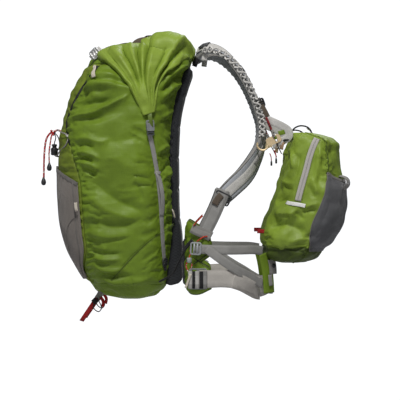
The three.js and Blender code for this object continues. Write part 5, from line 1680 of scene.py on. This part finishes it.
# Creases of the pocket's outer side in its own X and Z.
POCKET_FOLDS = [
    ([(48, 262), (51, 236), (52, 206), (52, 180)], 5, 2.5, 0.3), ([(56, 230), (52, 196), (50, 160)], 5, -2.0),
    ([(-34, 168), (-20, 160), (-4, 158)], 5, -2.2), ([(-36, 178), (-20, 172), (0, 172)], 6, 2.0, 0.2),
    ([(-64, 74), (-42, 82), (-16, 82), (8, 70), (20, 50)], 12, -6.0, -0.2),
    ([(-50, 100), (-32, 106), (-12, 107), (10, 97)], 10, 4.4, -0.2),
    ([(-58, 56), (-36, 54), (-12, 48), (6, 40)], 12, 1.6), ([(2, 112), (8, 104), (22, 92)], 5, -2.4),
    ([(-50, 128), (-34, 136), (-14, 134)], 6, -2.4), ([(-18, 250), (-10, 225), (-6, 200)], 7, 2.6, 0.2),
    ([(-26, 246), (-20, 222), (-20, 196)], 5, -2.6), ([(4, 240), (4, 210), (-4, 180)], 5, -2.4),
    ([(20, 118), (38, 126), (52, 128)], 6, 3.0, 0.2), ([(14, 108), (32, 114), (48, 112)], 5, -3.2),
    ([(44, 240), (46, 205), (40, 170)], 6, 2.5), ([(30, 186), (42, 168), (50, 146)], 6, 2.4, 0.2),
    ([(26, 172), (36, 152), (44, 138)], 4, -2.4), ([(24, 60), (10, 52), (-14, 46)], 5, 2.0),
    ([(-30, 34), (0, 28), (24, 36)], 1.8, -2.0),
    ]
POCKET_FOLD_DEPTH = 2.0  # the heights above are multiplied by this
PATCH_EDGE = [(66, 196), (62, 170), (58, 144), (46, 112), (34, 84), (29, 58), (26, 30)]


def pocket(name, side):
    one = Side("pocket", name, side)
    own, put, body = one.own, one.put, one.body
    turn = side * math.radians(15)
    cos, sin = math.cos(turn), math.sin(turn)

    def world(points):
        points = np.asarray(points, float)
        x, y, z = points[..., 0], points[..., 1], points[..., 2]
        return np.stack([x * cos - y * sin + 251, x * sin + y * cos + 95 * side, z], axis=-1)

    def turned(vector):
        return world(vector) - world(np.zeros(3))

    edge_of_patch = table([(z, x) for x, z in PATCH_EDGE[::-1]])
    corner = lambda z: float(POCKET.at(z)[1] - 11)
    patch_line = lambda z: float(min(edge_of_patch(np.array(float(z)))[0], POCKET.at(z)[1] - 17))
    levels = np.concatenate([np.linspace(0, POCKET_SEAM, BASE_ROWS + 1),
                             np.linspace(POCKET_SEAM, POCKET_TOP, SHELL_ROWS + 1)[1:]])
    grid = POCKET.grid(levels, (patch_line, corner), POCKET_SHARES)
    patch_column, corner_column = POCKET_SHARES[0], sum(POCKET_SHARES[:2])
    fixed = np.zeros(grid.shape[:2])
    fixed[BASE_ROWS] = 0.6
    fixed[:1] = fixed[-1:] = 1
    fixed[:, [corner_column, grid.shape[1] - corner_column]] = 0.7
    grid = blown_up(own("pocket_cloth"), grid, fixed, pressure=4.0, slack=0.05, limit=4.5)
    base_row, patch_column, corner_column = 2 * BASE_ROWS, 2 * patch_column, 2 * corner_column
    total = grid.shape[1]
    outward = grid_normals(grid, closed=True)
    run = np.arange(total)
    on_right = run <= total // 2
    outer_half = on_right if side == RIGHT else ~on_right
    plane = grid[..., [0, 2]] + (0 if side == RIGHT else 2)
    height = np.zeros(grid.shape[:2])
    for path, wide, tall, *lean in POCKET_FOLDS:
        height += fold(plane, path, wide, POCKET_FOLD_DEPTH * tall, *lean) * np.where(outer_half, 1.0, 0.5)[None]
    beside_zip = 1 - 0.8 * bell(plane[..., 0] - 22 - (plane[..., 1] - 199) * 0.27, 12) * (plane[..., 1] > 126)
    height *= beside_zip
    ripple = (0.6 - np.abs(waves(plane * [1, 0.7], 38, 54,
                                 2))) * (0.5 + 0.5 * np.clip(waves(plane, 90, 55, 1), -1, 1))
    height += waves(grid * [1, -side, 1], 60, 50, 2) * 1.3 * beside_zip + ripple * 1.2 * beside_zip
    seam_level = bell(grid[..., 2] - POCKET_SEAM - 0.1 * grid[..., 0], 2.2) * 2.2

    def columns_from(column):
        """How many columns away the nearer of a column and its mirror image is."""
        return np.minimum(np.abs(run - column), np.abs(run - (total - column)))[None]

    corner_seam, beyond_corner = columns_from(corner_column) * 2.6, columns_from(corner_column + 8)
    height += 1.6 * bell(corner_seam, 4.0) - seam_level
    height -= 5.5 * bell(beyond_corner, 4.5) * ease((grid[..., 2] - 176) / 24) * ease((276 - grid[..., 2]) / 16)
    ends = window(grid[..., 2], 0, 12, POCKET_TOP, 12)
    grid = grid + outward * (height * ends)[..., None]
    placed = world(grid)
    # The base takes the darker base green: painted shade on its downward-facing side.
    base = put(bowl(own("pocket_base"), placed[:base_row + 1], 1.8, upper=False), "base_green", slotted=True)
    rim, hub = placed[-1:], placed[-1].mean(axis=0)
    walls = np.concatenate([placed[base_row:], rim * 0.6 + hub * 0.4, rim * 0.2 + hub * 0.8])
    # The shell takes the paler pocket green: painted light.
    shell = put(bowl(own("pocket_shell"), walls, 1.8, upper=True), "pocket_green")
    tree = surface_of(shell, base)
    seam_ring = placed[base_row] + (placed[base_row] - placed[base_row].mean(axis=0)) * 0.004
    put(sweep(own("pocket_base_piping"), seam_ring, ring_profile(1.3, 6), closed=True), "seam_green")

    def skin(x, z, lift):
        """A place on the pocket's outer side, and the outward direction there."""
        start = world([x, 200 * side, z])
        aim = turned([0, -side, 0])
        hit, normal, _, _ = tree.ray_cast(Vector(start), Vector(aim))
        if hit is None:
            hit, normal, _, _ = tree.find_nearest(Vector(world([x, 50 * side, z])))
        return np.array(hit) + np.array(normal) * lift, np.array(normal)

    def on_pocket(places, lift, count=None):
        path = spline(places, 12 * len(places))
        path = evenly(path, count or max(5, int(length_of(path) / 3)))
        both = [skin(x, z, lift) for x, z in path]
        at, out = np.array([b[0] for b in both]), np.array([b[1] for b in both])
        for _ in range(5):
            out[1:-1] = unit(out[1:-1] * 2 + out[:-2] + out[2:])
        return calmed(at), out

    row_heights = grid[:, corner_column + 6, 2]

    def row_at(level):
        return int(np.argmin(np.abs(row_heights - level)))

    corner_rows = slice(row_at(190) - base_row, row_at(270) - base_row)
    for k, column in enumerate((corner_column, total - corner_column)):
        corner_line = placed[base_row:][corner_rows,
                                        column] + grid_normals(placed[base_row:])[corner_rows, column] * 0.3
        put(sweep(own(f"pocket_corner_seam_{k}"), corner_line, ring_profile(1.1, 6)), "seam_green")

    # Stretch patch on the front, from its slanting edge on the outer side round to the inner side.
    flank = slice(patch_column, total - patch_column + 1)
    lowest, highest = row_at(26), row_at(194)
    patch = placed[lowest:highest + 1, flank]
    share = np.linspace(0, 1, PATCH_COLUMNS)
    trimmed = []
    for r in range(len(patch)):
        local_x = grid[lowest + r, flank, 0]
        limit = edge_of_patch(np.array(float(row_heights[lowest + r])))[0]
        half = len(local_x) // 2
        start = np.interp(limit, local_x[:half], np.arange(half))
        picks = start + (len(local_x) - 1 - 2 * start) * share
        trimmed.append(read_off(picks, np.arange(len(local_x)), patch[r]))
    trimmed = smoothed(np.array(trimmed), 12)
    rows_up = np.linspace(0, 1, len(trimmed))
    travel = run_of(trimmed[-1])
    for c in range(PATCH_COLUMNS):  # the top edge drops away from the patch's two ends
        reach = rows_up * (1 - 0.09 * min(1, min(travel[c], travel[-1] - travel[c]) / 44))
        trimmed[:, c] = read_off(reach, rows_up, trimmed[:, c])
    out = grid_normals(trimmed)
    swell = np.sin(np.pi * share)[None] ** 0.6 * np.sin(np.pi * np.linspace(0.02, 0.98, len(trimmed)))[:, None] ** 0.6
    trimmed = trimmed + out * (2.6 + 3.6 * swell + 0.5 * waves(trimmed, 50, 57, 2))[..., None]
    put(sheet(own("pocket_mesh"), trimmed, 1.2), "pocket_stretch")
    put(sweep(own("pocket_mesh_hem"), trimmed[-2], web_profile(7, 1.8), up=out[-2]), "grey_binding")
    for k, column in enumerate((1, -2)):
        put(sweep(own(f"pocket_mesh_piping_{k}"), trimmed[::2, column] + out[::2, column] * 0.3, ring_profile(1.0)),
            "grey_binding")

    # Zip, slider, reflective bar, tabs and cords.
    at, out = on_pocket(POCKET_ZIP, 1.0, 40)
    put(sweep(own("pocket_zip"), at, web_profile(13.5, 1.5), up=out), "grey_zip")
    for k, shift in enumerate((-8.6, 8.6)):
        beside = np.cross(unit(np.gradient(at, axis=0)), out) * shift
        stitches(own(f"pocket_zip_stitch_{k}"), at + beside - out * 0.6, out, "thread", body)
    node = own("pocket_slider")
    finish(rounded_node(node), "pale_grey", node)
    bar, out = on_pocket([(-20, 130), (2, 127), (24, 123)], 1.8, 14)
    put(sweep(own("reflective_bar"), bar, web_profile(8, 1.1), up=out), "reflective")
    def place(x, y, z):
        return world([x, y * side, z])

    def aimed(x, y, z):
        return turned([x, y * side, z])

    put(label(own("red_tab"), place(-72, 45, 68), aimed(-1, 0, 0), aimed(0, 1, 0), 9, 20, 2.2, 0.4), "red_tape")
    put(label(own("beige_tab"), place(-34, 46, 262), aimed(-.25, 0, -1), aimed(-.3, 1, 0), 9, 17, 1.2), "beige")
    put(dome(own("pocket_snap"), place(104, 20, 174), aimed(1, 0.4, .2), 4.6, 2.0), "silver")
    for piece, look, radius, points in (
            ("pocket_top_cord", "black_cord", 1.7, [(-20, 30, 276), (-14, 32, 290), (0, 30, 297), (16, 28, 294),
                                                    (24, 26, 284), (22, 24, 277)]),
            ("pocket_top_cream", "lace", 1.5, [(14, 27, 292), (22, 26, 286), (28, 25, 278)])):
        put(cord(own(piece), [place(*p) for p in points], radius), look)
    for piece, look, width, thickness, stations in (
            ("pocket_hanger", "black_tape", 13, 2.0, [
                (-24, 40, 270, -.4, 1, .6), (-32, 44, 268, -.6, 1, .5), (-35, 46, 265, -.8, 1, .3)]),
            ("pocket_side_tab", "grey_tape", 15, 1.8, [
                (76, 18, 188, .3, 0.2, 1), (92, 20, 187, .5, 0.2, .8), (103, 20, 180, 1, 0.3, .4),
                (103, 20, 168, 1, 0.4, 0), (92, 19, 158, 1, 0.3, -.3)])):
        put(webbing(own(piece), [[place(*s[:3]), aimed(*s[3:])] for s in stations], width, thickness), look)


for name, side in SIDES:
    pocket(name, side)


# ------------------------------------------------------------------ room, light and camera

FLOOR_SIDES, FLOOR_HEIGHT, FLOOR_RINGS = 96, -600, (900, 1800, 2600)
ring = np.linspace(0, 2 * math.pi, FLOOR_SIDES + 1)[:-1]
floor_points = [[0, 0, FLOOR_HEIGHT]]
floor_points += [[r * math.cos(a), r * math.sin(a), FLOOR_HEIGHT] for r in FLOOR_RINGS for a in ring]
floor_faces = [[0, 1 + k, 1 + (k + 1) % FLOOR_SIDES] for k in range(FLOOR_SIDES)]
for start in (1, 1 + FLOOR_SIDES):
    floor_faces += [[start + k, start + FLOOR_SIDES + k, start + FLOOR_SIDES + (k + 1) % FLOOR_SIDES,
                     start + (k + 1) % FLOOR_SIDES] for k in range(FLOOR_SIDES)]
stage = new_object("floor", floor_points, floor_faces)
s = Shader("pale_floor", roughness=0.9, specular=0.1)
s.colour(s.mix(s.ramp(s.noise(700, 3), 0, 1), linear(206, 206, 208), linear(200, 200, 203)))
stage.data.materials.append(s.material)


def area_light(name, at, aim, power, size, colour=(1, 1, 1)):
    light = bpy.data.lights.new(name, "AREA")
    light.energy, light.shape, light.size, light.color = power, "DISK", size, colour
    obj = bpy.data.objects.new(name, light)
    bpy.context.collection.objects.link(obj)
    obj.location = at
    obj.rotation_euler = (Vector(aim) - Vector(at)).to_track_quat("-Z", "Y").to_euler()
    return obj


area_light("key", (-0.1, -2.0, 2.9), (0, 0, 0.15), 92, 0.7, (1, 0.985, 0.96))
area_light("fill", (-2.4, -2.6, 0.5), (-0.1, 0, 0.1), 9, 1.2, (0.95, 0.97, 1))
area_light("rim", (0.9, 1.9, 2.2), (0, 0, 0.2), 20, 1.2)
world = bpy.data.worlds.new("studio")
world.use_nodes = True
# The backdrop is bright where the camera sees it and dim as a light.
links, nodes = world.node_tree.links, world.node_tree.nodes
seen = nodes.new("ShaderNodeLightPath").outputs["Is Camera Ray"]
strength = nodes.new("ShaderNodeMapRange")
strength.inputs["To Min"].default_value, strength.inputs["To Max"].default_value = 0.14, 1.1
links.new(seen, strength.inputs["Value"])
links.new(strength.outputs[0], nodes["Background"].inputs[1])
nodes["Background"].inputs[0].default_value = (0.97, 0.98, 1, 1)
bpy.context.scene.world = world
bpy.context.scene.view_settings.view_transform = "Standard"

# The camera looks level from far off on the wearer's right, as in the photograph.
camera = bpy.data.objects.new("camera", bpy.data.cameras.new("camera"))
bpy.context.collection.objects.link(camera)
camera.data.lens, camera.data.sensor_width = 164, 36
camera.data.clip_end = 30
camera.location = (0.026, -4.08, 0.136)
camera.rotation_euler = (math.pi / 2, 0, 0)
bpy.context.scene.camera = camera
